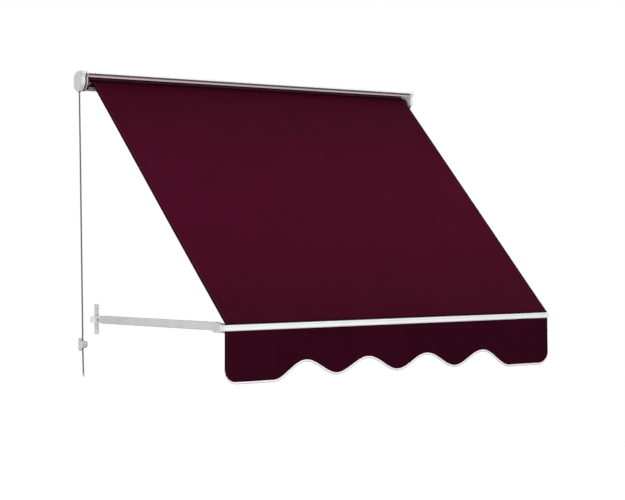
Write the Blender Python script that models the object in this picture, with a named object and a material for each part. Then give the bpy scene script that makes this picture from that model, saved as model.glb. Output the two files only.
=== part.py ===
"""Window awning with a roller head, two drop arms, a front bar with a scalloped valance, and a pull cord.

Metres, +Z up. X runs along the width, the wall is the plane Y = 0 and the awning reaches out along -Y.
The origin is on the back of the head, half way along it, level with the middle of its end covers.
The awning is modelled lowered: the arms are level and the canopy is fully unrolled.
"""

import math

import bmesh
import bpy
from mathutils import Matrix, Vector

for old in list(bpy.data.objects):
    bpy.data.objects.remove(old)

CLEAR = 0.0003

# Width
CANOPY_WIDTH = 1.196
BAR_OVERHANG = 0.0024
VALANCE_OVERHANG = 0.0020
HEAD_OVERHANG = 0.0172
BAR_LENGTH = CANOPY_WIDTH + 2 * BAR_OVERHANG
VALANCE_WIDTH = CANOPY_WIDTH + 2 * VALANCE_OVERHANG
HEAD_LENGTH = CANOPY_WIDTH + 2 * HEAD_OVERHANG

# Head extrusion, an open channel seen from its end
HOOD_DEPTH = 0.046
HOOD_TOP = 0.0275
HOOD_FLOOR = -0.0245
HOOD_WALL = 0.0016
HOOD_BACK_TOP = 0.014
HOOD_SHOULDER = 0.016
GROOVE_TOP = 0.0225
GROOVE_FLOOR = 0.017
GROOVE_DEPTH = 0.0080
HOOD_FILLET_STEPS = 5
TOP_LIP_END = 0.012
BOTTOM_LIP_END = -0.0172
BACK_SCREW_R = 0.0025
BACK_SCREW_PITCH = 0.360
BACK_SCREW_Z = 0.006

# Roller
ROLLER_Y = -0.020
ROLLER_Z = -0.006
TUBE_R = 0.0105
TUBE_WALL = 0.0010
TUBE_END_GAP = 0.002
ROLL_R = 0.0117
CLOTH_THICKNESS = 0.0006
JOURNAL_R = 0.0040
PLUG_COLLAR_R = 0.0095
PLUG_SPIGOT_LENGTH = 0.024
BUSH_WALL = 0.0022
BUSH_FLANGE_R = 0.0085
BUSH_FLANGE = 0.0016

# Head ends
RING_WIDTH = 0.0053
NECK_WIDTH = 0.0044
NECK_INSET = 0.0050
RING_INSET = 0.0008
COVER_WIDTH = 0.0120
FLAT_COVER_WIDTH = 0.0036
FLAT_COVER_EDGE = 0.0014
COVER_WALL = 0.0020
COVER_EDGE = 0.0032
COVER_EDGE_PROFILE = 0.6
TONGUE_LENGTH = 0.0120
TONGUE_THICKNESS = 0.0022
TOP_TONGUE = (-0.036, -0.022)
BACK_TONGUE = (-0.016, -0.001)
COVER_SCREW_R = 0.0015
COVER_SCREW_HEAD_R = 0.0030
COVER_SCREW_HEAD = 0.0014
COVER_SCREW_BITE = 0.0036
COVER_BOSS_R = 0.0036

# Cord drum
DRUM_FLANGE_R = 0.0150
DRUM_FLANGE = 0.0011
DRUM_CORE_R = 0.0066
DRUM_SLACK = 0.0006
WINDING_R = 0.0128

# Canopy and front bar
BAR_DEPTH = 0.0200
BAR_HEIGHT = 0.0151
BAR_CORNER = 0.0018
BAR_FLUTE_DEPTH = 0.0007
BAR_FLUTE_HEIGHT = 0.0062
BAR_WALL = 0.0015
KEDER_R = 0.0021
KEDER_GAP = 0.0003
KEDER_SETBACK = 0.0040
KEDER_COVER = 0.0039
CANOPY_END_FORWARD = 0.0010
CANOPY_END_RISE = 0.0012
SLOT_WIDTH = 0.0018
BAR_CAP_THICKNESS = 0.0030
BAR_CAP_SPIGOT = 0.010

# Valance, the edge of its cloth in front view
VALANCE_DROP = 0.1344
SCALLOP_PITCH = 0.220
SCALLOP_TROUGH_DROP = 0.1250
SCALLOP_CREST_DROP = 0.0849
CORNER_R = 0.036
BINDING_WIDTH = 0.0055
BINDING_THICKNESS = 0.0018
EDGE_STEPS = 14
CORNER_STEPS = 6

# Arms
ARM_INSET = 0.0307
ARM_X = CANOPY_WIDTH / 2 - ARM_INSET
ARM_PIVOT_Y = -0.024
ARM_PIVOT_Z = -0.6827
ARM_REACH = 0.6240
ARM_FALL = 0.0023
ARM_HEIGHT = 0.0222
ARM_WIDTH = 0.0140
ARM_WALL = 0.0015
ARM_CORNER = 0.0022
ARM_TUBE_START = 0.016
ARM_SPIGOT = 0.026
FRONT_PIVOT_Y = ARM_PIVOT_Y - ARM_REACH
FRONT_PIVOT_Z = ARM_PIVOT_Z - ARM_FALL
PIVOT_TO_BAR = 0.0150
PIVOT_BELOW_BAR_TOP = 0.0083
EYE_R = 0.0092
PIVOT_BOLT_R = 0.0030
PIVOT_HEAD_R = 0.0056
PIVOT_HEAD = 0.0034
NUT_R = 0.0058
NUT_HEIGHT = 0.0046
BOLT_TIP = 0.0015
KNUCKLE_LENGTH = 0.0645
KNUCKLE_TOP = 0.0093
KNUCKLE_BOTTOM = 0.0147
KNUCKLE_SHOULDER = 0.0165
KNUCKLE_ROOT = 0.012
TONGUE_WIDTH = 0.0070
FRONT_EYE_R = 0.0072
FRONT_PIN_R = 0.0025
FRONT_PIN_HEAD_R = 0.0042
FRONT_PIN_HEAD = 0.0018
LUG_EAR = 0.0024
LUG_PLATE = 0.0022
LUG_RIVET_R = 0.0016
LUG_WIDTH = 0.034
LUG_RIVET_EDGE = 0.005
LUG_CORNER = 0.002
LUG_TOP_INSET = 0.0006
LUG_BOTTOM_INSET = 0.0002
RIVET_HEAD_R = 0.0030
RIVET_HEAD = 0.0011
RIVET_BULB_R = 0.0025
RIVET_BULB = 0.0016

# Cross shaped wall plates
PLATE_THICKNESS = 0.0030
PLATE_HEIGHT = 0.0874
PLATE_WIDTH = 0.0138
PLATE_SIDE_SPAN = 0.0400
PLATE_SIDE_HEIGHT = 0.0180
PLATE_CORNER = 0.0040
PLATE_INNER_CORNER = 0.0020
EAR_THICKNESS = 0.0025
PLATE_SCREW_R = 0.0024
SCREW_EDGE = 0.0075
SIDE_SCREW_EDGE = 0.0048

# Pull cord and its lock
CORD_R = 0.0022
CORD_TOP = (-0.6300, -0.0197, -0.0207)
CORD_LOCK_POINT = (-0.6210, -0.0120, -0.7535)
CORD_END = (-0.6205, -0.0135, -0.8425)
OUTLET_FROM_COVER_BACK = 0.0045
OUTLET_FLANGE_R = 0.0046
OUTLET_BORE_R = 0.0026
OUTLET_TUBE_R = 0.0034
OUTLET_FLANGE = 0.0012
OUTLET_LENGTH = 0.0046
OUTLET_SEAT = 0.0085
OUTLET_FORWARD = 0.0003
LOCK_HEIGHT = 0.0370
LOCK_WIDTH = 0.0150
LOCK_PLATE = 0.0026
LOCK_DEPTH = 0.0290
LOCK_WALL = 0.0016
LOCK_CORNER = 0.0030
LOCK_SCREW_R = 0.0018
LOCK_SCREW_EDGE = 0.0046
LOCK_BODY_INSET = 0.0085
LOCK_SIDE_INSET = 0.0006
LOCK_NOSE_LOW_R = 0.0125
LOCK_NOSE_HIGH_R = 0.0085
LOCK_SLOT = 0.0062
CAM_R = 0.0056
CAM_OFFSET = 0.0008
CAM_WIDTH = 0.0060
CAM_PIN_R = 0.0015
CAM_PIN_HEAD = 0.0008
CAM_PIN_HEAD_R = 0.0025
FERRULE_R = 0.0031
FERRULE_LENGTH = 0.0085
FERRULE_BITE = 0.0050
FERRULE_NOSE = 0.0010


def material(name, hex_colour, roughness, metallic=0.0):
    """A plain finish from an sRGB colour."""
    made = bpy.data.materials.get(name) or bpy.data.materials.new(name)
    made.use_nodes = True
    channels = [int(hex_colour[i : i + 2], 16) / 255 for i in (0, 2, 4)]
    linear = [c / 12.92 if c <= 0.04045 else ((c + 0.055) / 1.055) ** 2.4 for c in channels]
    shader = made.node_tree.nodes["Principled BSDF"]
    shader.inputs["Base Color"].default_value = (*linear, 1.0)
    shader.inputs["Roughness"].default_value = roughness
    shader.inputs["Metallic"].default_value = metallic
    made.diffuse_color = (*linear, 1.0)
    return made


def finish(name, bm, mat, joint=None, smooth=False):
    """Turns a bmesh in world coordinates into a named object, hung on its joint's empty."""
    bmesh.ops.remove_doubles(bm, verts=bm.verts, dist=1e-6)
    bmesh.ops.recalc_face_normals(bm, faces=bm.faces)
    mesh = bpy.data.meshes.new(name)
    bm.to_mesh(mesh)
    bm.free()
    if smooth:
        mesh.shade_smooth()
        mesh.set_sharp_from_angle(angle=math.radians(35))
    made = bpy.data.objects.new(name, mesh)
    mesh.materials.append(mat)
    bpy.context.collection.objects.link(made)
    if joint is not None:
        made.parent = joint
        made.matrix_parent_inverse = joint.matrix_world.inverted()
    return made


def joint_empty(name, place):
    """An empty on a joint's axis."""
    made = bpy.data.objects.new(name, None)
    made.empty_display_size = 0.03
    made.location = place
    bpy.context.collection.objects.link(made)
    bpy.context.view_layer.update()
    return made


def cut(target, cutter_bm, operation="DIFFERENCE"):
    """Joins a shape to the target, or cuts it away, with a Boolean modifier that stays live."""
    bmesh.ops.remove_doubles(cutter_bm, verts=cutter_bm.verts, dist=1e-6)
    bmesh.ops.recalc_face_normals(cutter_bm, faces=cutter_bm.faces)
    mesh = bpy.data.meshes.new(target.name + "_tool")
    cutter_bm.to_mesh(mesh)
    cutter_bm.free()
    tool = bpy.data.objects.new(target.name + "_tool", mesh)
    bpy.context.collection.objects.link(tool)
    tool.hide_render = True
    tool.display_type = "WIRE"
    modifier = target.modifiers.new("shape", "BOOLEAN")
    modifier.operation = operation
    modifier.solver = "EXACT"
    modifier.object = tool
    return target


def filleted(corners, steps=4):
    """A closed outline from (u, v, radius) corners, each radius drawn as an arc."""
    points = []
    count = len(corners)
    for i, (u, v, radius) in enumerate(corners):
        here = Vector((u, v))
        before = (Vector(corners[i - 1][:2]) - here).normalized()
        after = (Vector(corners[(i + 1) % count][:2]) - here).normalized()
        half = before.angle(after) / 2
        if radius <= 0 or half > math.radians(89):
            points.append((u, v))
            continue
        reach = radius / math.tan(half)
        centre = here + (before + after).normalized() * (radius / math.sin(half))
        start = here + before * reach - centre
        end = here + after * reach - centre
        sweep = start.angle_signed(end)
        for k in range(steps + 1):
            turned = start.copy()
            turned.rotate(Matrix.Rotation(-sweep * k / steps, 2))
            points.append(tuple(centre + turned))
    return points


def offset(points, distance):
    """An outline moved inwards by a distance, for outlines that run round in either sense."""
    area = sum(a[0] * b[1] - b[0] * a[1] for a, b in zip(points, points[1:] + points[:1]))
    sign = 1.0 if area > 0 else -1.0
    moved = []
    count = len(points)
    for i, here in enumerate(points):
        a, p, b = Vector(points[i - 1]), Vector(here), Vector(points[(i + 1) % count])
        na = Vector((-(p - a).y, (p - a).x)).normalized() * sign
        nb = Vector((-(b - p).y, (b - p).x)).normalized() * sign
        middle = (na + nb).normalized()
        moved.append(tuple(p + middle * (distance / max(middle.dot(na), 0.4))))
    return moved


def circle(u, v, radius, steps=24):
    """A round outline."""
    return [
        (u + radius * math.cos(2 * math.pi * k / steps), v + radius * math.sin(2 * math.pi * k / steps))
        for k in range(steps)
    ]


def box_outline(u0, u1, v0, v1):
    """A rectangular outline."""
    return [(u0, v0), (u1, v0), (u1, v1), (u0, v1)]


def placed(axis, along, u, v):
    """A point from its place along an axis and its place in the section across it."""
    return {"X": (along, u, v), "Y": (u, along, v), "Z": (u, v, along)}[axis]


def prism(axis, start, end, outline, holes=()):
    """A solid of one section, with its holes, drawn along X, Y or Z."""
    bm = bmesh.new()
    for loop in (outline, *holes):
        verts = [bm.verts.new(placed(axis, start, u, v)) for u, v in loop]
        for a, b in zip(verts, verts[1:] + verts[:1]):
            bm.edges.new((a, b))
    bmesh.ops.triangle_fill(bm, use_beauty=True, edges=bm.edges[:])
    drawn = bmesh.ops.extrude_face_region(bm, geom=bm.faces[:])
    moved = [g for g in drawn["geom"] if isinstance(g, bmesh.types.BMVert)]
    bmesh.ops.translate(bm, verts=moved, vec=Vector(placed(axis, end - start, 0, 0)))
    bmesh.ops.recalc_face_normals(bm, faces=bm.faces)
    return bm


def turned_x(profile, y, z, steps=32):
    """A solid turned about an axis along X from a closed (x, radius) profile."""
    bm = bmesh.new()
    verts = [bm.verts.new((x, y, z + radius)) for x, radius in profile]
    centre = Vector((0, y, z))
    edges = []
    for a, b in zip(verts, verts[1:] + verts[:1]):
        on_axis = (a.co - centre).yz.length < 1e-9 and (b.co - centre).yz.length < 1e-9
        if not on_axis:
            edges.append(bm.edges.new((a, b)))
    bmesh.ops.spin(
        bm, geom=verts + edges, cent=centre, axis=(1, 0, 0), angle=2 * math.pi, steps=steps, use_merge=True
    )
    bmesh.ops.remove_doubles(bm, verts=bm.verts, dist=1e-6)
    bmesh.ops.dissolve_degenerate(bm, dist=1e-7, edges=bm.edges)
    return bm


def turned_z(profile, x, y, steps=16):
    """A solid turned about an upright axis from a closed (z, radius) profile."""
    bm = turned_x(profile, 0, 0, steps)
    bmesh.ops.rotate(bm, verts=bm.verts, cent=(0, 0, 0), matrix=Matrix.Rotation(math.radians(-90), 3, "Y"))
    bmesh.ops.translate(bm, verts=bm.verts, vec=(x, y, 0))
    return bm


def turned_y(profile, x, z, steps=16):
    """A solid turned about an axis along Y from a closed (y, radius) profile."""
    bm = turned_x(profile, 0, 0, steps)
    bmesh.ops.rotate(bm, verts=bm.verts, cent=(0, 0, 0), matrix=Matrix.Rotation(math.radians(90), 3, "Z"))
    bmesh.ops.translate(bm, verts=bm.verts, vec=(x, 0, z))
    return bm


WHITE_COAT = material("white powder coat", "EBEBEB", 0.35)
PALE_MOULDING = material("pale grey moulding", "D2D2D2", 0.45)
BARE_ALUMINIUM = material("mill aluminium", "BDBDC0", 0.4, 1.0)
ZINC = material("zinc plated steel", "B4B6BA", 0.35, 1.0)
DARK_NYLON = material("dark nylon", "3A3A3C", 0.5)
CANOPY_CLOTH = material("coated canopy cloth", "430D21", 0.85)
VALANCE_CLOTH = material("coated valance cloth", "32061A", 0.85)
WHITE_BRAID = material("white braid", "F2F2F2", 0.8)
CORD_GREY = material("grey braided cord", "8C8C8C", 0.8)


# Section of the head extrusion
def hood_section():
    front = -HOOD_DEPTH
    wall = HOOD_WALL
    recess = front + GROOVE_DEPTH
    outer = [
        (front, TOP_LIP_END, 0),
        (front, GROOVE_FLOOR, 0.0004),
        (recess, GROOVE_FLOOR, 0),
        (recess, GROOVE_TOP, 0),
        (front, GROOVE_TOP, 0.0004),
        (front, HOOD_TOP, 0.0028),
        (-HOOD_SHOULDER, HOOD_TOP, 0.010),
        (0, HOOD_BACK_TOP, 0.004),
        (0, HOOD_FLOOR, 0.002),
        (front, HOOD_FLOOR, 0.005),
        (front, BOTTOM_LIP_END, 0),
    ]
    inner = [
        (front + wall, BOTTOM_LIP_END, 0),
        (front + wall, HOOD_FLOOR + wall, 0.0034),
        (-wall, HOOD_FLOOR + wall, 0.001),
        (-wall, HOOD_BACK_TOP - wall / 2, 0.003),
        (-HOOD_SHOULDER - wall / 2, HOOD_TOP - wall, 0.009),
        (front + wall, HOOD_TOP - wall, 0.0012),
        (front + wall, GROOVE_TOP + wall, 0),
        (recess + wall, GROOVE_TOP + wall, 0),
        (recess + wall, GROOVE_FLOOR - wall, 0),
        (front + wall, GROOVE_FLOOR - wall, 0),
        (front + wall, TOP_LIP_END, 0),
    ]
    return filleted(outer + inner, HOOD_FILLET_STEPS)


# Egg shaped outline of the head's ends, as (y, z, fillet)
END_CORNERS = [
    (-0.0015, -0.0180, 0.007),
    (-0.0015, 0.0140, 0.007),
    (-0.0190, 0.0295, 0.011),
    (-0.0455, 0.0295, 0.006),
    (-0.0500, 0.0225, 0.003),
    (-0.0445, 0.0120, 0.008),
    (-0.0445, -0.0090, 0.017),
    (-0.0280, -0.0295, 0.009),
    (-0.0140, -0.0280, 0.008),
]
END_LEAST_FILLET = 0.0010


def end_outline(inset=0.0):
    """The outline of the head's ends, drawn smaller all round by an inset."""
    moved = offset([(y, z) for y, z, _ in END_CORNERS], inset)
    fillets = [max(fillet - inset, END_LEAST_FILLET) for _, _, fillet in END_CORNERS]
    return filleted([(y, z, fillet) for (y, z), fillet in zip(moved, fillets)], 5)


# The left end has the cord drum in a deep cover on a neck, and the right end a flat cover on the ring itself
RING_INNER_X = HEAD_LENGTH / 2 + CLEAR
RING_OUTER_X = RING_INNER_X + RING_WIDTH
NECK_OUTER_X = RING_OUTER_X + NECK_WIDTH
COVER_INNER_X = NECK_OUTER_X + CLEAR
COVER_OUTER_X = COVER_INNER_X + COVER_WIDTH
COVER_FLOOR_X = COVER_OUTER_X - COVER_WALL
BUSH_OUTER_R = JOURNAL_R + CLEAR + BUSH_WALL
COVER_SCREWS = ((-0.0380, 0.0195), (-0.0180, 0.0180))

OUTLET_X = -(COVER_INNER_X + OUTLET_FROM_COVER_BACK)

TUBE_HALF = CANOPY_WIDTH / 2 + TUBE_END_GAP
BAR_BACK_Y = FRONT_PIVOT_Y - PIVOT_TO_BAR
BAR_FRONT_Y = BAR_BACK_Y - BAR_DEPTH
BAR_TOP_Z = FRONT_PIVOT_Z + PIVOT_BELOW_BAR_TOP
BAR_BOTTOM_Z = BAR_TOP_Z - BAR_HEIGHT
BAR_MIDDLE_Z = BAR_TOP_Z - BAR_HEIGHT / 2
KEDER_Y = BAR_FRONT_Y + KEDER_SETBACK
CANOPY_END_Y = KEDER_Y - CANOPY_END_FORWARD
CANOPY_END_Z = BAR_TOP_Z + CANOPY_END_RISE

roller_axis = joint_empty("roller_axis", (0, ROLLER_Y, ROLLER_Z))
left_arm_axis = joint_empty("left_arm_axis", (-ARM_X, ARM_PIVOT_Y, ARM_PIVOT_Z))
right_arm_axis = joint_empty("right_arm_axis", (ARM_X, ARM_PIVOT_Y, ARM_PIVOT_Z))
front_bar_axis = joint_empty("front_bar_axis", (-ARM_X, FRONT_PIVOT_Y, FRONT_PIVOT_Z))
CAM_Y = CORD_LOCK_POINT[1] - CORD_R - CLEAR - CAM_R - CAM_OFFSET / 2
lock_cam_axis = joint_empty("lock_cam_axis", (CORD_LOCK_POINT[0], CAM_Y, CORD_LOCK_POINT[2]))


def make_hood():
    bm = prism("X", -HEAD_LENGTH / 2, HEAD_LENGTH / 2, hood_section())
    hood = finish("hood_profile", bm, WHITE_COAT)
    for place in (-1.5, -0.5, 0.5, 1.5):
        x = place * BACK_SCREW_PITCH
        hole = prism("Y", -2 * HOOD_WALL, HOOD_WALL, circle(x, BACK_SCREW_Z, BACK_SCREW_R, 16))
        cut(hood, hole)
    return hood


def make_bracket(side, sign, outer):
    """The bearing ring at one end of the head, with its tongues in the extrusion, and the bush in it."""
    spread = sorted((sign * RING_INNER_X, sign * RING_OUTER_X))
    bush_hole = circle(ROLLER_Y, ROLLER_Z, BUSH_OUTER_R + CLEAR)
    screw_holes = [circle(y, z, COVER_SCREW_R + CLEAR, 12) for y, z in COVER_SCREWS]
    holes = [bush_hole, *screw_holes]
    ring = finish(f"end_bracket_{side}", prism("X", *spread, end_outline(RING_INSET), holes), PALE_MOULDING)
    if outer > RING_OUTER_X:
        neck_span = sorted((sign * (RING_OUTER_X - CLEAR), sign * outer))
        cut(ring, prism("X", *neck_span, end_outline(NECK_INSET), holes), "UNION")
    tongue_span = sorted((sign * (RING_INNER_X - TONGUE_LENGTH), sign * (RING_INNER_X + RING_WIDTH / 2)))
    under = HOOD_TOP - HOOD_WALL - CLEAR
    top_tongue = box_outline(*TOP_TONGUE, under - TONGUE_THICKNESS, under)
    cut(ring, prism("X", *tongue_span, top_tongue), "UNION")
    back = -HOOD_WALL - CLEAR
    back_tongue = box_outline(back - TONGUE_THICKNESS, back, *BACK_TONGUE)
    cut(ring, prism("X", *tongue_span, back_tongue), "UNION")

    flange_x = RING_INNER_X - CLEAR
    bush_profile = [
        (sign * outer, JOURNAL_R + CLEAR),
        (sign * outer, BUSH_OUTER_R),
        (sign * flange_x, BUSH_OUTER_R),
        (sign * flange_x, BUSH_FLANGE_R),
        (sign * (flange_x - BUSH_FLANGE), BUSH_FLANGE_R),
        (sign * (flange_x - BUSH_FLANGE), JOURNAL_R + CLEAR),
    ]
    finish(f"bush_{side}", turned_x(bush_profile, ROLLER_Y, ROLLER_Z, 24), DARK_NYLON, smooth=True)


def make_cover(side, sign, inner, width, edge):
    """The cover on one bracket, eased round its rim, and the two screws that hold it."""
    outer = inner + width
    bm = prism("X", sign * inner, sign * outer, end_outline())
    rim = [
        e for e in bm.edges
        if all(abs(v.co.x - sign * outer) < 1e-6 for v in e.verts) and e.calc_face_angle(0) > 1.0
    ]
    shape = {"segments": 3, "profile": COVER_EDGE_PROFILE, "affect": "EDGES", "clamp_overlap": True}
    bmesh.ops.bevel(bm, geom=rim, offset=edge, **shape)
    cover = finish(f"end_cover_{side}", bm, PALE_MOULDING, smooth=True)
    through = sorted((sign * (inner - COVER_WALL), sign * (outer + COVER_WALL)))
    seat = sorted((sign * (outer - COVER_SCREW_HEAD), sign * (outer + COVER_WALL)))
    if side == "left":
        cavity_span = sorted((sign * (inner - COVER_WALL), sign * (outer - COVER_WALL)))
        boss_cuts = [circle(y, z, COVER_BOSS_R, 16) for y, z in COVER_SCREWS]
        cut(cover, prism("X", *cavity_span, end_outline(COVER_WALL + edge / 4), boss_cuts))
    for y, z in COVER_SCREWS:
        cut(cover, prism("X", *through, circle(y, z, COVER_SCREW_R + CLEAR, 12)))
        cut(cover, prism("X", *seat, circle(y, z, COVER_SCREW_HEAD_R + CLEAR, 16)))

    tip = RING_OUTER_X - COVER_SCREW_BITE
    head_out = outer - CLEAR
    head_in = outer - COVER_SCREW_HEAD + CLEAR
    for which, (y, z) in zip(("front", "rear"), COVER_SCREWS):
        profile = [
            (sign * tip, 0.0),
            (sign * tip, COVER_SCREW_R),
            (sign * head_in, COVER_SCREW_R),
            (sign * head_in, COVER_SCREW_HEAD_R),
            (sign * head_out, COVER_SCREW_HEAD_R * 0.8),
            (sign * head_out, 0.0),
        ]
        finish(f"cover_screw_{side}_{which}", turned_x(profile, y, z, 12), ZINC)
    return cover


def make_cord_outlet(cover):
    """The nylon guide that the cord leaves by, set in the underside of the left end cover."""
    x, y = OUTLET_X, ROLLER_Y + OUTLET_FORWARD
    lowest = min(v for _, v in end_outline())
    seat = circle(x, y, OUTLET_TUBE_R + CLEAR, 16)
    cut(cover, prism("Z", lowest - COVER_WALL, lowest + OUTLET_SEAT, seat))
    low = lowest - OUTLET_FLANGE - CLEAR
    profile = [
        (low, OUTLET_BORE_R),
        (low, OUTLET_FLANGE_R),
        (lowest - CLEAR, OUTLET_FLANGE_R),
        (lowest - CLEAR, OUTLET_TUBE_R),
        (low + OUTLET_LENGTH, OUTLET_TUBE_R),
        (low + OUTLET_LENGTH, OUTLET_BORE_R),
    ]
    finish("cord_outlet", turned_z(profile, x, y), DARK_NYLON, smooth=True)


def make_roller():
    centre = (ROLLER_Y, ROLLER_Z)
    bore = [circle(*centre, TUBE_R - TUBE_WALL, 32)]
    tube = prism("X", -TUBE_HALF, TUBE_HALF, circle(*centre, TUBE_R, 32), bore)
    finish("roller_tube", tube, BARE_ALUMINIUM, roller_axis, smooth=True)
    rings = [circle(*centre, TUBE_R + CLEAR, 32)]
    roll = prism("X", -CANOPY_WIDTH / 2, CANOPY_WIDTH / 2, circle(*centre, ROLL_R, 32), rings)
    finish("cloth_roll", roll, CANOPY_CLOTH, roller_axis, smooth=True)
    bush_face = RING_INNER_X - 2 * CLEAR - BUSH_FLANGE
    for side, sign in (("left", -1), ("right", 1)):
        journal_end = COVER_FLOOR_X - DRUM_SLACK if side == "left" else RING_OUTER_X
        spigot_end = TUBE_HALF - PLUG_SPIGOT_LENGTH
        profile = [
            (sign * journal_end, 0.0),
            (sign * journal_end, JOURNAL_R),
            (sign * bush_face, JOURNAL_R),
            (sign * bush_face, PLUG_COLLAR_R),
            (sign * (TUBE_HALF + CLEAR), PLUG_COLLAR_R + 0.001),
            (sign * (TUBE_HALF + CLEAR), TUBE_R - TUBE_WALL - CLEAR),
            (sign * spigot_end, TUBE_R - TUBE_WALL - CLEAR),
            (sign * spigot_end, 0.0),
        ]
        finish(f"roller_plug_{side}", turned_x(profile, *centre), DARK_NYLON, roller_axis, smooth=True)


def make_drum():
    """The flanged reel for the cord, on the left journal inside the end cover."""
    inner = -(NECK_OUTER_X + DRUM_SLACK)
    outer = -(COVER_FLOOR_X - DRUM_SLACK)
    bore = JOURNAL_R + CLEAR
    profile = [
        (inner, bore),
        (inner, DRUM_FLANGE_R),
        (inner - DRUM_FLANGE, DRUM_FLANGE_R),
        (inner - DRUM_FLANGE, DRUM_CORE_R),
        (outer + DRUM_FLANGE, DRUM_CORE_R),
        (outer + DRUM_FLANGE, DRUM_FLANGE_R),
        (outer, DRUM_FLANGE_R),
        (outer, bore),
    ]
    finish("cord_drum", turned_x(profile, ROLLER_Y, ROLLER_Z), PALE_MOULDING, roller_axis, smooth=True)
    left = outer + DRUM_FLANGE + CLEAR
    right = inner - DRUM_FLANGE - CLEAR
    core = DRUM_CORE_R + CLEAR
    winding = [(left, core), (left, WINDING_R), (right, WINDING_R), (right, core)]
    finish("cord_winding", turned_x(winding, ROLLER_Y, ROLLER_Z), CORD_GREY, roller_axis, smooth=True)


def canopy_line():
    """Where the canopy leaves the roll and its direction down to the front bar, in (y, z)."""
    end = Vector((CANOPY_END_Y, CANOPY_END_Z))
    centre = Vector((ROLLER_Y, ROLLER_Z))
    reach = ROLL_R + CLEAR + CLOTH_THICKNESS / 2
    gap = centre - end
    turn = math.asin(reach / gap.length)
    towards = gap.normalized()
    towards.rotate(Matrix.Rotation(turn, 2))
    length = math.sqrt(gap.length**2 - reach**2)
    return end + towards * length, -towards


def make_canopy():
    start, down = canopy_line()
    end = Vector((CANOPY_END_Y, CANOPY_END_Z))
    across = Vector((-down.y, down.x)) * (CLOTH_THICKNESS / 2)
    outline = [tuple(start + across), tuple(end + across), tuple(end - across), tuple(start - across)]
    bm = prism("X", -CANOPY_WIDTH / 2, CANOPY_WIDTH / 2, outline)
    finish("canopy_cloth", bm, CANOPY_CLOTH)


def bar_groove(z_centre, upwards):
    """A round channel for a beaded cloth edge with its slot to the bar's top or underside."""
    radius = KEDER_R + KEDER_GAP
    direction = 1 if upwards else -1
    half = SLOT_WIDTH / 2
    edge = math.asin(half / radius)
    points = []
    steps = 16
    for k in range(steps + 1):
        angle = edge + (2 * math.pi - 2 * edge) * k / steps
        points.append((KEDER_Y + radius * math.sin(angle), z_centre + direction * radius * math.cos(angle)))
    mouth = z_centre + direction * (KEDER_COVER + BAR_WALL)
    return points + [(KEDER_Y - half, mouth), (KEDER_Y + half, mouth)]


def make_front_bar():
    front, back = BAR_FRONT_Y, BAR_BACK_Y
    flute = BAR_FLUTE_HEIGHT / 2
    deep = BAR_FLUTE_DEPTH
    corners = [
        (front, BAR_TOP_Z, BAR_CORNER),
        (back, BAR_TOP_Z, BAR_CORNER),
        (back, BAR_BOTTOM_Z, BAR_CORNER),
        (front, BAR_BOTTOM_Z, BAR_CORNER),
        (front, BAR_MIDDLE_Z - flute, 0),
        (front + deep, BAR_MIDDLE_Z - flute + deep, 0),
        (front + deep, BAR_MIDDLE_Z + flute - deep, 0),
        (front, BAR_MIDDLE_Z + flute, 0),
    ]
    half = BAR_LENGTH / 2
    extrusion = prism("X", -half, half, filleted(corners, 3), [chamber_outline(0.0)])
    bar = finish("front_bar", extrusion, WHITE_COAT, front_bar_axis)
    for z, upwards in ((BAR_TOP_Z - KEDER_COVER, True), (BAR_BOTTOM_Z + KEDER_COVER, False)):
        cut(bar, prism("X", -half - BAR_WALL, half + BAR_WALL, bar_groove(z, upwards)))
    for side, sign in (("left", -1), ("right", 1)):
        inner = half + CLEAR
        span = sorted((sign * inner, sign * (inner + BAR_CAP_THICKNESS)))
        lid = prism("X", *span, filleted(corners[:4], 4))
        cap = finish(f"bar_cap_{side}", lid, WHITE_COAT, front_bar_axis)
        spigot = sorted((sign * (inner - BAR_CAP_SPIGOT), sign * (inner + BAR_CAP_THICKNESS / 2)))
        cut(cap, prism("X", *spigot, chamber_outline(CLEAR)), "UNION")
    return bar


def chamber_outline(inset):
    """The hollow behind the bar's cloth grooves."""
    front = KEDER_Y + KEDER_R + KEDER_GAP + BAR_WALL + inset
    back = BAR_BACK_Y - BAR_WALL - inset
    return box_outline(front, back, BAR_BOTTOM_Z + BAR_WALL + inset, BAR_TOP_Z - BAR_WALL - inset)


def make_keders():
    """The beads in the cloth's edges, each with its tail through the slot."""
    half_tail = CLOTH_THICKNESS / 2
    canopy_z = BAR_TOP_Z - KEDER_COVER
    valance_z = BAR_BOTTOM_Z + KEDER_COVER
    for name, z, direction, tail_end, width, mat in (
        ("canopy_bead", canopy_z, 1, CANOPY_END_Z - CLEAR - CLOTH_THICKNESS / 2, CANOPY_WIDTH, CANOPY_CLOTH),
        ("valance_bead", valance_z, -1, BAR_BOTTOM_Z - CLEAR, VALANCE_WIDTH - 2 * CLEAR, VALANCE_CLOTH),
    ):
        edge = math.asin(half_tail / KEDER_R)
        points = []
        steps = 14
        for k in range(steps + 1):
            angle = edge + (2 * math.pi - 2 * edge) * k / steps
            points.append((KEDER_Y + KEDER_R * math.sin(angle), z + direction * KEDER_R * math.cos(angle)))
        points += [(KEDER_Y - half_tail, tail_end), (KEDER_Y + half_tail, tail_end)]
        finish(name, prism("X", -width / 2, width / 2, points), mat, front_bar_axis)


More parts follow.
